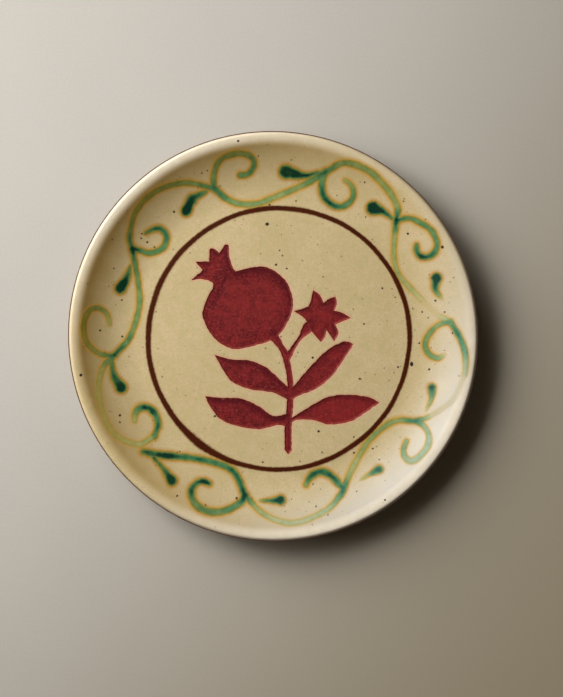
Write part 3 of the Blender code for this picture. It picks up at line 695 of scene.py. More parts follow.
def build_plant_and_face():
    outlines = {name: outline_of(name) for name in PLANT}
    silhouette = silhouette_of(outlines)
    corners, faces, circle = triangulated(outlines, silhouette)
    centres = corners[faces].mean(axis=1)
    owner = np.full(len(faces), -1)
    for k, outline in reversed(list(enumerate(outlines.values()))):
        owner[inside(centres, outline)] = k
    is_red = np.zeros(len(corners), bool)
    is_red[np.unique(faces[owner >= 0])] = True

    distance, which, _ = nearest_on(corners, *silhouette)
    signed = np.where(is_red, distance, -distance)
    out = to_right(unit((silhouette[1] - silhouette[0])[which]))
    depth = np.clip(signed / RECESS_SLOPE, 0, 1)
    floor = RECESS_STEP + RECESS * depth * depth * (3 - 2 * depth)
    crease = smooth_path(CREASE, 1.0)
    to_crease = nearest_on(corners, crease[:-1], crease[1:])[0]
    floor += CREASE_DEPTH * bell(to_crease, 0.7)
    # Painted shade: how far each outline edge faces up and to the right.
    faces_shade_side = out @ np.array([math.cos(SHADE_SIDE_TOWARDS), math.sin(SHADE_SIDE_TOWARDS)])
    red_values = {
        "rim": signed,
        "shade_side": np.clip(0.25 + 1.1 * faces_shade_side, 0, 1),
        # Painted shade along the crease and along the stem's outline.
        "crease_shade": bell(to_crease, 1.1) + 0.35 * bell(to_loop(corners, outlines["red_stem"]), 0.5),
    }
    top = np.column_stack([corners, WELL_Z - floor])
    bottom = np.column_stack([corners, np.full(len(corners), WELL_Z - COAT)])
    for k, (name, (heavy, _)) in enumerate(PLANT.items()):
        own_top, own, (own_bottom, *columns) = used_only(top, faces[owner == k], bottom, *red_values.values())
        points, body = slab(own_top, own_bottom, own)
        values = {key: np.tile(column, 2) for key, column in zip(red_values, columns)}
        values["heavy"] = np.full(len(points), heavy)
        add_piece("slip_" + name[4:], points, body, [name], red_slip, values)

    well_top = np.column_stack([corners, WELL_Z - GLAZE_ROLL * bell(signed, 0.35)])
    well_top, face, (well_bottom, near_red) = used_only(well_top, faces[owner < 0], bottom, -signed)
    build_face(well_top, well_bottom, face, circle, near_red)


def build_face(well_top, well_bottom, well_faces, circle, near_red):
    """The glaze coat of the face: the well's net, then rings out to the lip's edge, and its underside."""
    lower = len(well_top)
    tree = KDTree(lower)
    for k, point in enumerate(well_top):
        tree.insert((point[0], point[1], 0), k)
    tree.balance()
    rim = np.array([tree.find((x, y, 0))[1] for x, y in circle])

    radii = np.concatenate([np.arange(INNER_R, WALL_R, RING_STEP)[1:], np.linspace(WALL_R, CREST_R, 9)])
    profile = np.vstack([np.column_stack([radii, face_height(radii)]), lip_curve(9)])
    under = inward(profile, COAT)
    under[-1] = (PLATE_R - COAT, LIP_Z + LIP_LINE_HALF)
    last = len(under) - 1
    under = under[sorted({*range(3, last - 7, 6), *range(last - 7, last, 2), last})]

    angles, turn = circle_of(AROUND)
    turn = turn * oval(angles)[:, None]
    points = [well_top, well_bottom]
    count = 2 * lower
    quads, outmost = [], []
    for first, section, order in ((rim, profile, 1), (rim + lower, under, -1)):
        inner = first
        for r, z in section:
            flat = turn * r
            if r < WELL_R:
                blend = (r - INNER_R) / (WELL_R - INNER_R)
                flat = turn * r * blend + circle / INNER_R * r * (1 - blend)
            points.append(np.column_stack([flat, z + wander(*flat.T)]))
            outer = np.arange(count, count + AROUND)
            quads.append(ring_quads(inner, outer)[:, ::order])
            inner = outer
            count += AROUND
        outmost.append(inner)
    points = np.vstack(points)
    quads.append(ring_quads(*outmost))

    on_rim = set(rim.tolist())
    walls = [(b, a, a + lower, b + lower) for a, b in open_edges(well_faces) if not {a, b} <= on_rim]
    faces = np.vstack([well_faces, well_faces[:, ::-1] + lower])
    values = face_values(points)
    values["near_red"] = np.concatenate([near_red, near_red, np.full(count - 2 * lower, FAR_FROM_RED)])
    add_piece("face_glaze_coat", points, [*faces.tolist(), *np.vstack(quads).tolist(), *walls],
              ["face_glaze"], face_glaze, values, 50)


# ---------------------------------------------------------------- strokes, ring line, specks


def add_ribbon(name, finish, path, reach, lift, dome, closed=False):
    """A thin closed body that lies on the face, domed across, its edges sunk in the glaze, ends rounded.

    Its values 'across' and 'along' are each point's place across it from -1 to 1 and along it in millimetres.
    """
    side = -to_right(ahead_on_loop(path) if closed else unit(np.gradient(path, axis=0)))
    along = lengths(path)
    if not closed:
        for end, sign in ((0, -1), (-1, 1)):
            angles = np.radians(CAP_ANGLES[::-sign])
            beyond = np.sin(angles) * reach[end] * sign
            cap = (path[end] + np.outer(beyond, [side[end, 1], -side[end, 0]]), np.cos(angles) * reach[end],
                   np.repeat(side[end][None], len(angles), axis=0), along[end] + beyond)
            path, reach, side, along = (np.concatenate([own, more][::sign])
                                        for own, more in zip((path, reach, side, along), cap))
    across = np.linspace(-1, 1, STROKE_ACROSS)
    places = np.concatenate([across, [0.7, 0.0, -0.7]])
    heights = np.concatenate([lift + dome * (1 - across**2), np.full(3, -RIBBON_BELOW)])
    heights[[0, STROKE_ACROSS - 1]] = -STROKE_SUNK
    flat = path[:, None] + side[:, None] * (places[None] * reach[:, None])[:, :, None]
    z = surface_z(flat[..., 0], flat[..., 1]) + heights[None]
    points = np.concatenate([flat, z[..., None]], axis=2).reshape(-1, 3)
    size, count = len(places), len(path)
    sections = np.arange(size * count).reshape(count, size)
    following = np.roll(sections, -1, axis=0)
    corners = [following, np.roll(following, -1, axis=1), np.roll(sections, -1, axis=1), sections]
    faces = np.stack(corners, axis=-1)
    if closed:
        faces = faces.reshape(-1, 4).tolist()
    else:
        faces = faces[:-1].reshape(-1, 4).tolist()
        faces += [sections[0].tolist(), sections[-1, ::-1].tolist()]
    values = {**face_values(points), "across": np.tile(places, count), "along": np.repeat(along, size)}
    add_piece("brushed_" + name, points, faces, [name], finish, values, 60)


def build_strokes():
    for name, (path, half, _) in strokes.items():
        lift = STROKE_LIFT[name.split("_")[0]]
        add_ribbon(name, green_paint, path, STROKE_EDGE * half, lift, STROKE_DOME)


def build_ring_line():
    angles, turn = circle_of(RING_POINTS)
    waver = 0.16 * np.sin(3 * angles + 1) + 0.12 * np.sin(8 * angles) + 0.07 * np.sin(23 * angles + 2)
    path = np.array(RING_CENTRE) + turn * ((RING_R + waver) * (1 + RING_OVAL * np.sin(2 * angles)))[:, None]
    half = RING_HALF + RING_SWELL * bell(angles - RING_SWELL_ANGLE, RING_SWELL_SPREAD)
    half += RING_LEFT * np.clip(-np.cos(angles), 0, 1) + 0.08 * np.sin(5 * angles + 0.5)
    half += 0.06 * np.sin(19 * angles) + 0.04 * np.sin((41 + RING_R) * angles)
    reach = RING_EDGE * half
    add_ribbon("ring_line", ring_paint, path, reach, RING_LIFT, RING_DOME, closed=True)


def build_specks():
    """Iron spots and freckles: low mounds in the glaze, dark in the middle and clear at their edges."""
    draws = random.Random(11)
    places = [(x, y, radius, 1.0) for x, y, radius in SPOTS]
    tries = [(draws.uniform(-PAINTED_R, PAINTED_R), draws.uniform(-PAINTED_R, PAINTED_R))
             for _ in range(FRECKLES)]
    on_red = np.zeros(FRECKLES, bool)
    for outline in map(outline_of, PLANT):
        on_red |= inside(np.array(tries), outline) | (to_loop(np.array(tries), outline) < OFF_RED)
    for (x, y), hidden in zip(tries, on_red):
        off_line = abs(math.hypot(x - RING_CENTRE[0], y - RING_CENTRE[1]) - RING_R) > OFF_LINE
        if not hidden and off_line and math.hypot(x, y) < PAINTED_R:
            places.append((x, y, draws.uniform(0.2, 0.6), draws.uniform(0.15, 0.8)))
    points, faces, spot = [], [], []
    for x, y, radius, strength in places:
        first = len(points)
        stretch, turn = draws.uniform(0.75, 1.0), draws.uniform(0, TAU)
        for part, height, level in ((0.45, 0.05, 1.0), (1.0, 0.03, 0.7), (1.9, -0.012, 0.0)):
            for k in range(SPOT_SIDES):
                angle = TAU * k / SPOT_SIDES
                reach = radius * part * draws.uniform(0.82, 1.15)
                dx, dy = reach * math.cos(angle), reach * stretch * math.sin(angle)
                px = x + dx * math.cos(turn) - dy * math.sin(turn)
                py = y + dx * math.sin(turn) + dy * math.cos(turn)
                points.append((px, py, float(surface_z(px, py)) + height))
                spot.append(level * strength)
        rings = np.arange(first, first + 3 * SPOT_SIDES).reshape(3, SPOT_SIDES)
        for inner, outer in zip(rings, rings[1:]):
            faces += np.roll(ring_quads(inner, outer), 1, axis=1).tolist()
        faces += [rings[0].tolist(), rings[2, ::-1].tolist()]
    points = np.array(points)
    values = {**face_values(points), "spot": spot}
    add_piece("iron_specks", points, faces, [], speck_glaze, values, 60)


# ---------------------------------------------------------------- back, clay and foot


def rim_wander(x, y, z):
    return x, y, z + wander(x, y)


def build_back():
    back = back_curve()
    inner = inward(back, COAT)
    inner[0] = (PLATE_R - COAT, LIP_Z - LIP_LINE_HALF)

    def uneven(x, y, z):
        """Throwing rings on the wall, and a wavering edge where the glaze was wiped off the foot."""
        angle = np.arctan2(y, x)
        r = np.hypot(x, y)
        rings = 0.05 * np.sin(TAU * r / 6.5 + 1.2 * np.sin(angle)) * share(r, 124, 114)
        waver = 0.35 * np.sin(9 * angle + 1) + 0.25 * np.sin(23 * angle) + 0.2 * np.sin(4 * angle)
        out = 1 + share(r, FOOT_R + 4, FOOT_R) * np.maximum(waver, -0.1) / np.maximum(r, 1)
        return x * out, y * out, z + wander(x, y) - rings * share(r, FOOT_R, FOOT_R + 6)

    section = np.vstack([back, inner[::-1][::2], inner[:1]])
    turned_piece("back_glaze_coat", section, "back_glaze", back_glaze, uneven,
                 lambda r: {"foot_edge": r - FOOT_R, "lip": share(r, *BACK_LIP_RISES)})


def build_clay():
    """The thrown clay under the coats: a plain closed section that no glaze shows."""
    depth = COAT + 0.3
    radii = np.linspace(AXIS_R, CREST_R, 50)
    face = inward(np.vstack([np.column_stack([radii, face_height(radii)]), lip_curve(6)]), depth)
    base = np.array([(FOOT_R - 1, UNDER_Z + depth), (AXIS_R, UNDER_Z + depth)])
    section = np.vstack([face, inward(back_curve(), depth), base])
    turned_piece("thrown_clay_body", section, "clay_body", bare_clay, rim_wander)


def build_foot():
    out_r, in_r = FOOT_FLAT_OUT_R, FOOT_FLAT_IN_R
    outer_corner = bezier((out_r + FOOT_EDGE, FOOT_EDGE), (out_r + 0.6, 0.2), (out_r + 0.5, 0), (out_r, 0), 5)
    inner_corner = bezier((in_r, 0), (in_r - 0.5, 0), (in_r - 0.6, 0.2), (in_r - FOOT_EDGE, FOOT_EDGE), 5)
    outer = np.linspace((FOOT_R, FOOT_TOP), (out_r + FOOT_EDGE, FOOT_EDGE), 12)
    rise = np.linspace((in_r - FOOT_EDGE, FOOT_EDGE), (FOOT_TOP_IN_R, FOOT_TOP), 10)[1:]

    def uneven(x, y, z):
        """Turning lines."""
        lines = 0.06 * np.sin(TAU * z / 1.3 + 2 * np.arctan2(y, x)) * share(z, 0, 1)
        out = 1 + lines * share(z, FOOT_TOP, FOOT_TOP - 1) / np.hypot(x, y)
        return x * out, y * out, z

    section = np.vstack([outer, outer_corner, [(in_r, 0.0)], inner_corner, rise])
    turned_piece("turned_foot_ring", section, "foot_ring", bare_clay, uneven)


def build_recess():
    """The glazed disc inside the foot."""
    top, edge_r = UNDER_Z + COAT, FOOT_TOP_IN_R - 0.6
    radii = np.linspace(AXIS_R, edge_r - 0.4, 40)
    under = np.column_stack([radii, UNDER_Z + 0.04 * np.sin(radii * 0.9)])
    section = np.vstack([under, [(edge_r, UNDER_Z + 0.4), (edge_r, top), (AXIS_R, top)]])
    turned_piece("foot_recess_glaze", section, "recess_glaze", back_glaze, None,
                 lambda r: {"foot_edge": FOOT_TOP_IN_R - r, "lip": np.zeros(len(r))})


def build_lip_line():
    """The clay showing as a thin line where the glaze breaks over the lip's outermost edge."""
    band = np.vstack([(PLATE_R, LIP_Z - LIP_LINE_HALF), (PLATE_R, LIP_Z), lip_curve(24)[::-1][:11]])
    outer = inward(band, -0.02)
    outer[-1] = band[-1] - (0.0, 0.03)
    section = np.vstack([outer, inward(band, 0.45)[::-1]])
    turned_piece("lip_clay_line", section, "lip_line", lip_clay, rim_wander, sharp=60)


# ---------------------------------------------------------------- materials


class Shader:
    """A node material. Each method adds nodes and returns an output socket."""

    def __init__(self, name, roughness, specular=0.5):
        self.material = bpy.data.materials.new(name)
        self.material.use_nodes = True
        self.tree = self.material.node_tree
        self.surface = self.tree.nodes["Principled BSDF"]
        self.surface.inputs["Roughness"].default_value = roughness
        self.surface.inputs["Specular IOR Level"].default_value = specular
        self.place = self.node("ShaderNodeTexCoord").outputs["Object"]

    def node(self, kind, inputs=(), **settings):
        made = self.tree.nodes.new(kind)
        for key, value in settings.items():
            setattr(made, key, value)
        for key, value in dict(inputs).items():
            if isinstance(value, bpy.types.NodeSocket):
                self.tree.links.new(value, made.inputs[key])
            else:
                made.inputs[key].default_value = value
        return made

    def attribute(self, name):
        return self.node("ShaderNodeAttribute", attribute_name=name).outputs["Fac"]

    def noise(self, millimetres, detail, distortion=0.0):
        """Noise with features of about a size."""
        inputs = {"Vector": self.place, "Scale": 1 / (millimetres * MM), "Detail": detail,
                  "Distortion": distortion}
        return self.node("ShaderNodeTexNoise", inputs).outputs["Fac"]

    def math(self, operation, a, b=0.0, clamp=False):
        return self.node("ShaderNodeMath", {0: a, 1: b}, operation=operation, use_clamp=clamp).outputs[0]

    def times(self, a, b, clamp=False):
        return self.math("MULTIPLY", a, b, clamp)

    def plus(self, a, b):
        return self.math("ADD", a, b)

    def minus(self, a, b):
        return self.math("SUBTRACT", a, b)

    def between(self, value, low, high, to_low=0.0, to_high=1.0):
        """A smooth step from to_low at low to to_high at high."""
        inputs = {"Value": value, "From Min": low, "From Max": high, "To Min": to_low, "To Max": to_high}
        return self.node("ShaderNodeMapRange", inputs, interpolation_type="SMOOTHSTEP").outputs[0]

    def patches(self, millimetres, detail, low, high, to_low=0.0, to_high=1.0):
        """Noise of about a size, as a smooth step between two of its levels."""
        return self.between(self.noise(millimetres, detail), low, high, to_low, to_high)

    def jitter(self, millimetres, detail, amount):
        """Noise round 0, to make an edge uneven."""
        return self.times(self.minus(self.noise(millimetres, detail), 0.5), amount)

    def freckles(self, millimetres, dot, kept, strength):
        """Dots, one in some of the cells of about a size."""
        cells = self.node("ShaderNodeTexVoronoi", {"Vector": self.place, "Scale": 1 / (millimetres * MM)})
        tiny = self.between(cells.outputs["Distance"], *dot, 1.0, 0.0)
        return self.times(self.times(tiny, self.between(cells.outputs["Color"], *kept)), strength)

    def peak(self, value, middle, width):
        """1 at a middle value, falling smoothly to 0 a width away on both sides."""
        return self.between(self.math("ABSOLUTE", self.minus(value, middle)), 0.0, width, 1.0, 0.0)

    def mix(self, factor, a, b):
        a, b = ((*colour, 1) if isinstance(colour, tuple) else colour for colour in (a, b))
        return self.node("ShaderNodeMix", {0: factor, 6: a, 7: b}, data_type="RGBA").outputs[2]

    def layered(self, colour, *layers):
        """A colour under others: each layer is how far it covers, and its colour."""
        for cover, tint in layers:
            colour = self.mix(cover, colour, tint)
        return colour

    def ramp(self, factor, stops):
        """A colour for each value: stops are (value, colour)."""
        made = self.node("ShaderNodeValToRGB", {"Fac": factor})
        elements = made.color_ramp.elements
        while len(elements) < len(stops):
            elements.new(0.5)
        for element, (position, colour) in zip(elements, stops):
            element.position = position
            element.color = (*colour, 1)
        return made.outputs["Color"]

    def skin(self, *layers):
        """A bumpy surface: each layer is its noise's size and detail, and its depth in millimetres."""
        normal = None
        for millimetres, detail, depth in layers:
            inputs = {"Height": self.noise(millimetres, detail), "Distance": depth * MM, "Strength": 1.0}
            if normal:
                inputs["Normal"] = normal
            normal = self.node("ShaderNodeBump", inputs).outputs["Normal"]
        return normal

    def finish(self, colour, normal, roughness=None):
        self.tree.links.new(colour, self.surface.inputs["Base Color"])
        self.tree.links.new(normal, self.surface.inputs["Normal"])
        if roughness:
            self.tree.links.new(roughness, self.surface.inputs["Roughness"])
        return self.material


# Amber of pooling glaze, also used as painted shade.
AMBER_AND_SHADE = (0.40, 0.255, 0.075)
# Pale lip glaze, also used as a painted highlight.
LIP_CREAM_AND_HIGHLIGHT = (0.80, 0.71, 0.565)
# Painted sheen on the lit wall.
SHEEN_CREAM = (0.425, 0.395, 0.335)
FRECKLE_BROWN = (0.23, 0.15, 0.065)
OCHRE = (0.53, 0.29, 0.045)
BURNT_OCHRE = (0.43, 0.215, 0.028)
GREENS = [
    (0.0, (0.52, 0.44, 0.20)),
    (0.15, (0.41, 0.42, 0.18)),
    (0.35, (0.240, 0.292, 0.102)),
    (0.55, (0.102, 0.225, 0.082)),
    (0.75, (0.026, 0.130, 0.054)),
    (0.92, (0.0, 0.027, 0.012)),
]
OLIVE_RIM = [
    (0.0, (0.48, 0.38, 0.12)),
    (0.35, (0.32, 0.27, 0.050)),
    (0.7, (0.115, 0.135, 0.018)),
    (1.0, (0.018, 0.060, 0.012)),
]
# Green under the painted sheen on the lit wall, and under the amber pooling and the painted shade on the
# wall.
SHEEN_GREENS = [
    (0.0, (0.42, 0.395, 0.30)),
    (0.15, (0.335, 0.37, 0.265)),
    (0.35, (0.19, 0.30, 0.195)),
    (0.6, (0.066, 0.210, 0.122)),
    (0.85, (0.022, 0.160, 0.090)),
    (1.0, (0.003, 0.075, 0.040)),
]
POOLED_AND_SHADED_GREENS = [
    (0.0, (0.46, 0.33, 0.07)),
    (0.35, (0.38, 0.27, 0.045)),
    (0.6, (0.25, 0.205, 0.030)),
    (0.8, (0.12, 0.135, 0.025)),
    (1.0, (0.012, 0.060, 0.020)),
]
GLAZE_SKIN = ((2.2, 2, 0.010), (11, 2, 0.07))


def glaze_colour(shader):
    """The cream glaze: cloudy, finely freckled, amber where it is pooling, darkened there as painted shade
    away from the key light, paler and greyer as painted sheen on the lit wall, and pale where it is breaking
    over the lip, with a painted highlight.
    """
    patches, times, attribute = shader.patches, shader.times, shader.attribute
    return shader.layered(
        shader.mix(patches(26, 3, 0.35, 0.7), (0.55, 0.43, 0.225), (0.60, 0.475, 0.265)),
        (patches(7, 3, 0.42, 0.68, 0.0, 0.55), (0.50, 0.42, 0.19)),
        (patches(4.3, 3, 0.48, 0.70, 0.0, 0.55), (0.63, 0.46, 0.28)),
        (patches(1.0, 4, 0.3, 0.72, 0.0, 0.5), (0.44, 0.33, 0.155)),
        # Painted shade over the amber pooling.
        (times(attribute("pool_and_shade"), patches(12, 3, 0.2, 0.8, 0.8, 1.15), clamp=True), AMBER_AND_SHADE),
        # Painted sheen.
        (times(attribute("lit_wall_sheen"), patches(9, 3, 0.3, 0.7, 0.8, 1.0)), SHEEN_CREAM),
        # The pale lip, with a painted highlight.
        (times(attribute("lip"), patches(6, 3, 0.3, 0.7, 0.82, 1.0)), LIP_CREAM_AND_HIGHLIGHT),
        (shader.freckles(2.6, (0.03, 0.13), (0.6, 0.76), 0.45), FRECKLE_BROWN),
        (shader.freckles(5.5, (0.03, 0.13), (0.5, 0.66), 0.55), FRECKLE_BROWN),
    )


def painted_glaze(shader, streaks=None):
    """The glaze with copper green: a teal core, an olive edge, and an ochre halo that soaks outward."""
    between, times, plus = shader.between, shader.times, shader.plus
    ink, lit_wall_sheen = shader.attribute("ink"), shader.attribute("lit_wall_sheen")
    past = times(shader.minus(shader.attribute("edge"), 1.0), shader.attribute("wide"))
    past = plus(past, plus(shader.jitter(1.3, 3, 0.75), shader.jitter(5.5, 2, 0.7)))
    soaked = times(between(past, -0.2, 2.8, 1.0, 0.0), between(ink, 0.02, 0.36))
    # The halo is fainter under the painted sheen.
    soaked = times(soaked, between(lit_wall_sheen, 0.0, 1.0, 1.0, 0.35))
    density = plus(ink, shader.jitter(3, 3, 0.3))
    density = plus(density, times(between(past, -2.0, 0.2), between(ink, 0.5, 0.95, 0.07, -0.42)))
    if streaks:
        density = plus(density, times(shader.minus(streaks, 0.5), 0.2))
    core = shader.layered(
        shader.ramp(density, GREENS),
        # Greens under the amber pooling and the painted shade.
        (times(shader.attribute("pool_and_shade"), 1.05, clamp=True), shader.ramp(density, POOLED_AND_SHADED_GREENS)),
        # Greens paled by the painted sheen.
        (lit_wall_sheen, shader.ramp(density, SHEEN_GREENS)),
    )
    stroke = shader.mix(between(past, -1.3, 0.05), core, shader.ramp(density, OLIVE_RIM))
    cover = times(between(past, -0.75, 1.0, 1.0, 0.0), between(ink, 0.0, 0.2))
    halo = shader.mix(between(ink, 0.4, 1.0), OCHRE, BURNT_OCHRE)
    return shader.layered(glaze_colour(shader), (soaked, halo), (cover, stroke))


def make_face_glaze():
    shader = Shader("cream_glaze_painted", 0.34)
    blush = shader.between(shader.attribute("near_red"), 0.1, 1.5, 0.8, 0.0)
    colour = shader.mix(blush, painted_glaze(shader), (0.62, 0.29, 0.18))
    smoother = shader.times(shader.attribute("lip"), 0.12)
    rough = shader.minus(shader.patches(18, 2, 0.3, 0.7, 0.40, 0.47), smoother)
    return shader.finish(colour, shader.skin(*GLAZE_SKIN), rough)


def make_green_paint():
    shader = Shader("copper_green_brushed", 0.34, 0.19)
    place = shader.node("ShaderNodeCombineXYZ", {"X": shader.times(shader.attribute("along"), 0.09),
                                                 "Y": shader.times(shader.attribute("across"), 2.6)})
    streaks = shader.node("ShaderNodeTexNoise", {"Vector": place.outputs[0], "Scale": 1.6, "Detail": 3.0})
    rough = shader.patches(18, 2, 0.3, 0.7, 0.40, 0.48)
    return shader.finish(painted_glaze(shader, streaks.outputs["Fac"]), shader.skin(*GLAZE_SKIN), rough)


def make_ring_paint():
    shader = Shader("iron_brown_brushed", 0.42, 0.12)
    across = shader.times(shader.math("ABSOLUTE", shader.attribute("across")), RING_EDGE)
    across = shader.plus(across, shader.jitter(1.3, 3, 0.35))
    brown = shader.mix(shader.noise(5, 3), (0.036, 0.005, 0.0005), (0.072, 0.012, 0.001))
    brown = shader.mix(shader.between(across, 0.55, 1.0, 0.0, 0.6), brown, (0.16, 0.045, 0.012))
    colour = shader.mix(shader.between(across, 0.62, 1.32, 1.0, 0.0), painted_glaze(shader), brown)
    return shader.finish(colour, shader.skin(*GLAZE_SKIN))


def make_red_slip():
    """Brick red slip: clouded and grainy, darker where it lies heavy, with painted shade along the edges that
    face up and to the right, at the foot of the cut's wall and in the crease, lighter towards the middle of
    each shape as painted sheen, and pale on the cut's wall.
    """
    shader = Shader("red_slip_inlay", 0.5, 0.12)
    between, times = shader.between, shader.times
    rim, shade_side, heavy, crease_shade = map(shader.attribute, ("rim", "shade_side", "heavy", "crease_shade"))
    fine, grain, cloud = shader.noise(0.6, 4), shader.noise(1.5, 4), shader.noise(6, 4, distortion=0.8)
    uneven = shader.plus(rim, shader.jitter(2.0, 4, 1.8))
    # Painted sheen: lighter towards the middle of each shape.
    middle_sheen = times(between(uneven, 3.0, 13.0, 0.0, 0.5), between(cloud, 0.3, 0.6, 0.5, 1.0))
    # Painted shade: darker near the edges that face up and to the right, more where the slip lies heavy.
    edge_shade = times(times(between(uneven, 1.0, 8.5, 0.6, 0.0), shade_side), heavy)
    # Painted shade: a dark band at the foot of the cut's wall on that side.
    band = times(times(shader.peak(uneven, 1.7, 2.3), shade_side), 0.5)
    flecks = times(shader.patches(1.1, 2, 0.64, 0.74), between(rim, 0.5, 1.6, 0.9, 0.12))
    colour = shader.layered(
        shader.mix(between(cloud, 0.36, 0.64), (0.095, 0.004, 0.006), (0.175, 0.009, 0.011)),
        (between(fine, 0.46, 0.72, 0.0, 0.5), (0.28, 0.045, 0.040)),
        (between(grain, 0.50, 0.72, 0.0, 0.42), (0.36, 0.060, 0.055)),
        (between(grain, 0.30, 0.46, 0.5, 0.0), (0.055, 0.0015, 0.003)),
        (between(heavy, 0.0, 0.6, 0.4, 0.0), (0.27, 0.020, 0.020)),
        (middle_sheen, (0.23, 0.019, 0.020)),
        (edge_shade, (0.075, 0.002, 0.006)),
        (between(uneven, 0.55, 1.5, 0.4, 0.0), (0.28, 0.045, 0.026)),
        (band, (0.055, 0.002, 0.006)),
        # Painted shade in the crease and along the stem's outline.
        (times(crease_shade, 0.75), (0.06, 0.003, 0.008)),
        (flecks, (0.46, 0.14, 0.11)),
        (between(rim, 0.10, 0.5, 0.8, 0.0), (0.07, 0.008, 0.005)),
    )
    rough = between(fine, 0.3, 0.7, 0.42, 0.58)
    return shader.finish(colour, shader.skin((3.5, 2, 0.2), (0.6, 3, 0.06)), rough)


def make_speck_glaze():
    shader = Shader("iron_spotted_glaze", 0.36)
    spot = shader.plus(shader.attribute("spot"), shader.jitter(0.35, 2, 0.35))
    colour = shader.mix(shader.between(spot, 0.08, 0.75), painted_glaze(shader), (0.022, 0.011, 0.005))
    return shader.finish(colour, shader.skin(*GLAZE_SKIN))


def make_back_glaze():
    shader = Shader("back_glaze_thin", 0.42)
    colour = shader.layered(
        shader.mix(shader.patches(20, 3, 0.3, 0.7), (0.50, 0.38, 0.195), (0.43, 0.31, 0.145)),
        (shader.patches(1.2, 3, 0.35, 0.7, 0.0, 0.3), (0.36, 0.25, 0.11)),
        (shader.freckles(3.2, (0.04, 0.15), (0.55, 0.7), 0.75), (0.09, 0.045, 0.02)),
        # The pale lip, in the colour of the face's painted lip highlight.
        (shader.times(shader.attribute("lip"), 0.6), LIP_CREAM_AND_HIGHLIGHT),
        (shader.between(shader.attribute("foot_edge"), 0.2, 1.6, 0.75, 0.0), (0.19, 0.085, 0.035)),
    )
    rough = shader.patches(9, 2, 0.3, 0.7, 0.36, 0.5)
    return shader.finish(colour, shader.skin((12, 2, 0.1), (2.0, 2, 0.015)), rough)


def make_bare_clay(name, base, dark, light):
    shader = Shader(name, 0.85)
    colour = shader.mix(shader.patches(4, 4, 0.3, 0.7), base, light)
    colour = shader.mix(shader.patches(0.5, 3, 0.5, 0.72, 0.0, 0.6), colour, dark)
    rough = shader.patches(1.0, 2, 0.3, 0.7, 0.78, 0.92)
    return shader.finish(colour, shader.skin((2.5, 2, 0.1), (0.45, 3, 0.08)), rough)


def make_floor_paper():
    """Plain pale paper, with painted shade that grades it to a darker end as the photo's backdrop is."""
    shader = Shader("pale_floor", 0.85)
    painted_shade_end = {0: shader.place, 1: (0.79, -0.61, 0.0)}
    across = shader.node("ShaderNodeVectorMath", painted_shade_end, operation="DOT_PRODUCT")
    colour = shader.layered(
        shader.mix(shader.patches(1.4, 4, 0.3, 0.7), (0.470, 0.447, 0.412), (0.497, 0.472, 0.434)),
        (shader.patches(60, 3, 0.3, 0.7, 0.0, 0.25), (0.516, 0.488, 0.448)),
        # Painted shade, darker towards the lower right.
        (shader.between(across.outputs["Value"], -0.14, 0.30), (0.318, 0.267, 0.184)),
    )
    return shader.finish(colour, shader.skin((0.9, 3, 0.015)), shader.patches(3, 2, 0.3, 0.7, 0.8, 0.9))


# ---------------------------------------------------------------- stage


def add_to_scene(name, data):
    made = bpy.data.objects.new(name, data)
    bpy.context.scene.collection.objects.link(made)
    return made


def build_floor():
    mesh = bpy.data.meshes.new("floor")
    mesh.from_pydata([(x * FLOOR_HALF, y * FLOOR_HALF, 0) for x, y in ((-1, -1), (1, -1), (1, 1), (-1, 1))],
                     [], [(0, 1, 2, 3)])
    mesh.materials.append(make_floor_paper())
    floor = add_to_scene("floor", mesh)


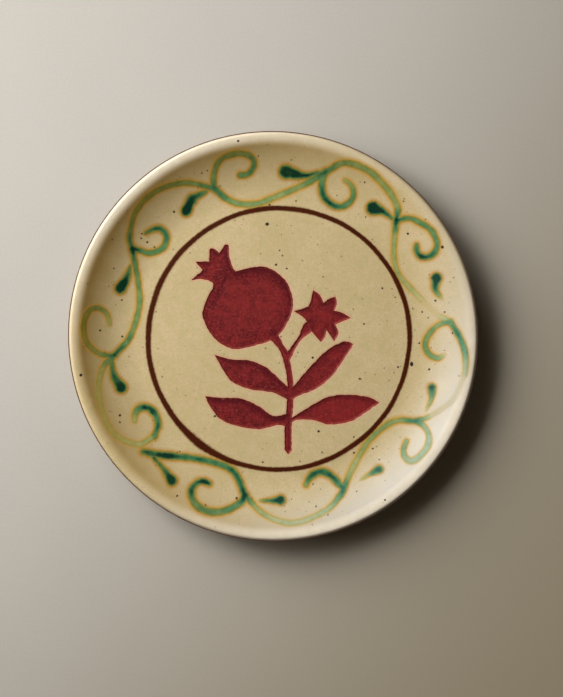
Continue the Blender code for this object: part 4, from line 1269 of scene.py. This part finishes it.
def build_world():
    """A dim warm fill, which the camera sees as a plain backdrop."""
    world = bpy.data.worlds.new("studio")
    world.use_nodes = True
    nodes, links = world.node_tree.nodes, world.node_tree.links
    fill = nodes["Background"]
    fill.inputs["Color"].default_value = FILL_COLOUR
    fill.inputs["Strength"].default_value = FILL
    seen = nodes.new("ShaderNodeBackground")
    seen.inputs["Color"].default_value = BACKDROP
    path = nodes.new("ShaderNodeLightPath")
    chosen = nodes.new("ShaderNodeMixShader")
    links.new(path.outputs["Is Camera Ray"], chosen.inputs[0])
    links.new(fill.outputs[0], chosen.inputs[1])
    links.new(seen.outputs[0], chosen.inputs[2])
    links.new(chosen.outputs[0], nodes["World Output"].inputs["Surface"])
    bpy.context.scene.world = world


def build_lights():
    for turn, part in KEY_BANK:
        light = bpy.data.lights.new("softbox", "AREA")
        light.shape = "RECTANGLE"
        light.size, light.size_y = KEY_SIZE
        light.spread = KEY_SPREAD
        light.energy = KEY_WATTS * part
        light.color = KEY_COLOUR
        softbox = add_to_scene("softbox", light)
        azimuth = KEY_AZIMUTH + math.radians(turn)
        level = KEY_DISTANCE * math.cos(KEY_ELEVATION)
        softbox.location = (level * math.cos(azimuth), level * math.sin(azimuth),
                            KEY_DISTANCE * math.sin(KEY_ELEVATION))
        softbox.rotation_euler = softbox.location.to_track_quat("Z", "Y").to_euler()
        softbox.visible_camera = False


def build_camera():
    camera = add_to_scene("camera", bpy.data.cameras.new("camera"))
    camera.data.lens = LENS
    camera.data.clip_end = 100
    camera.location = (*CAMERA_AIM, CAMERA_HEIGHT)
    bpy.context.scene.camera = camera
    bpy.context.scene.view_settings.view_transform = "Standard"


face_glaze = make_face_glaze()
green_paint = make_green_paint()
ring_paint = make_ring_paint()
red_slip = make_red_slip()
speck_glaze = make_speck_glaze()
back_glaze = make_back_glaze()
bare_clay = make_bare_clay("bare_clay_gritty", (0.20, 0.115, 0.065), (0.08, 0.04, 0.022), (0.27, 0.165, 0.10))
lip_clay = make_bare_clay("lip_clay", (0.105, 0.050, 0.034), (0.04, 0.018, 0.012), (0.165, 0.088, 0.058))

strokes = make_strokes()
build_floor()
build_world()
build_lights()
build_camera()
build_plant_and_face()
build_strokes()
build_ring_line()
build_specks()
build_back()
build_clay()
build_foot()
build_recess()
build_lip_line()
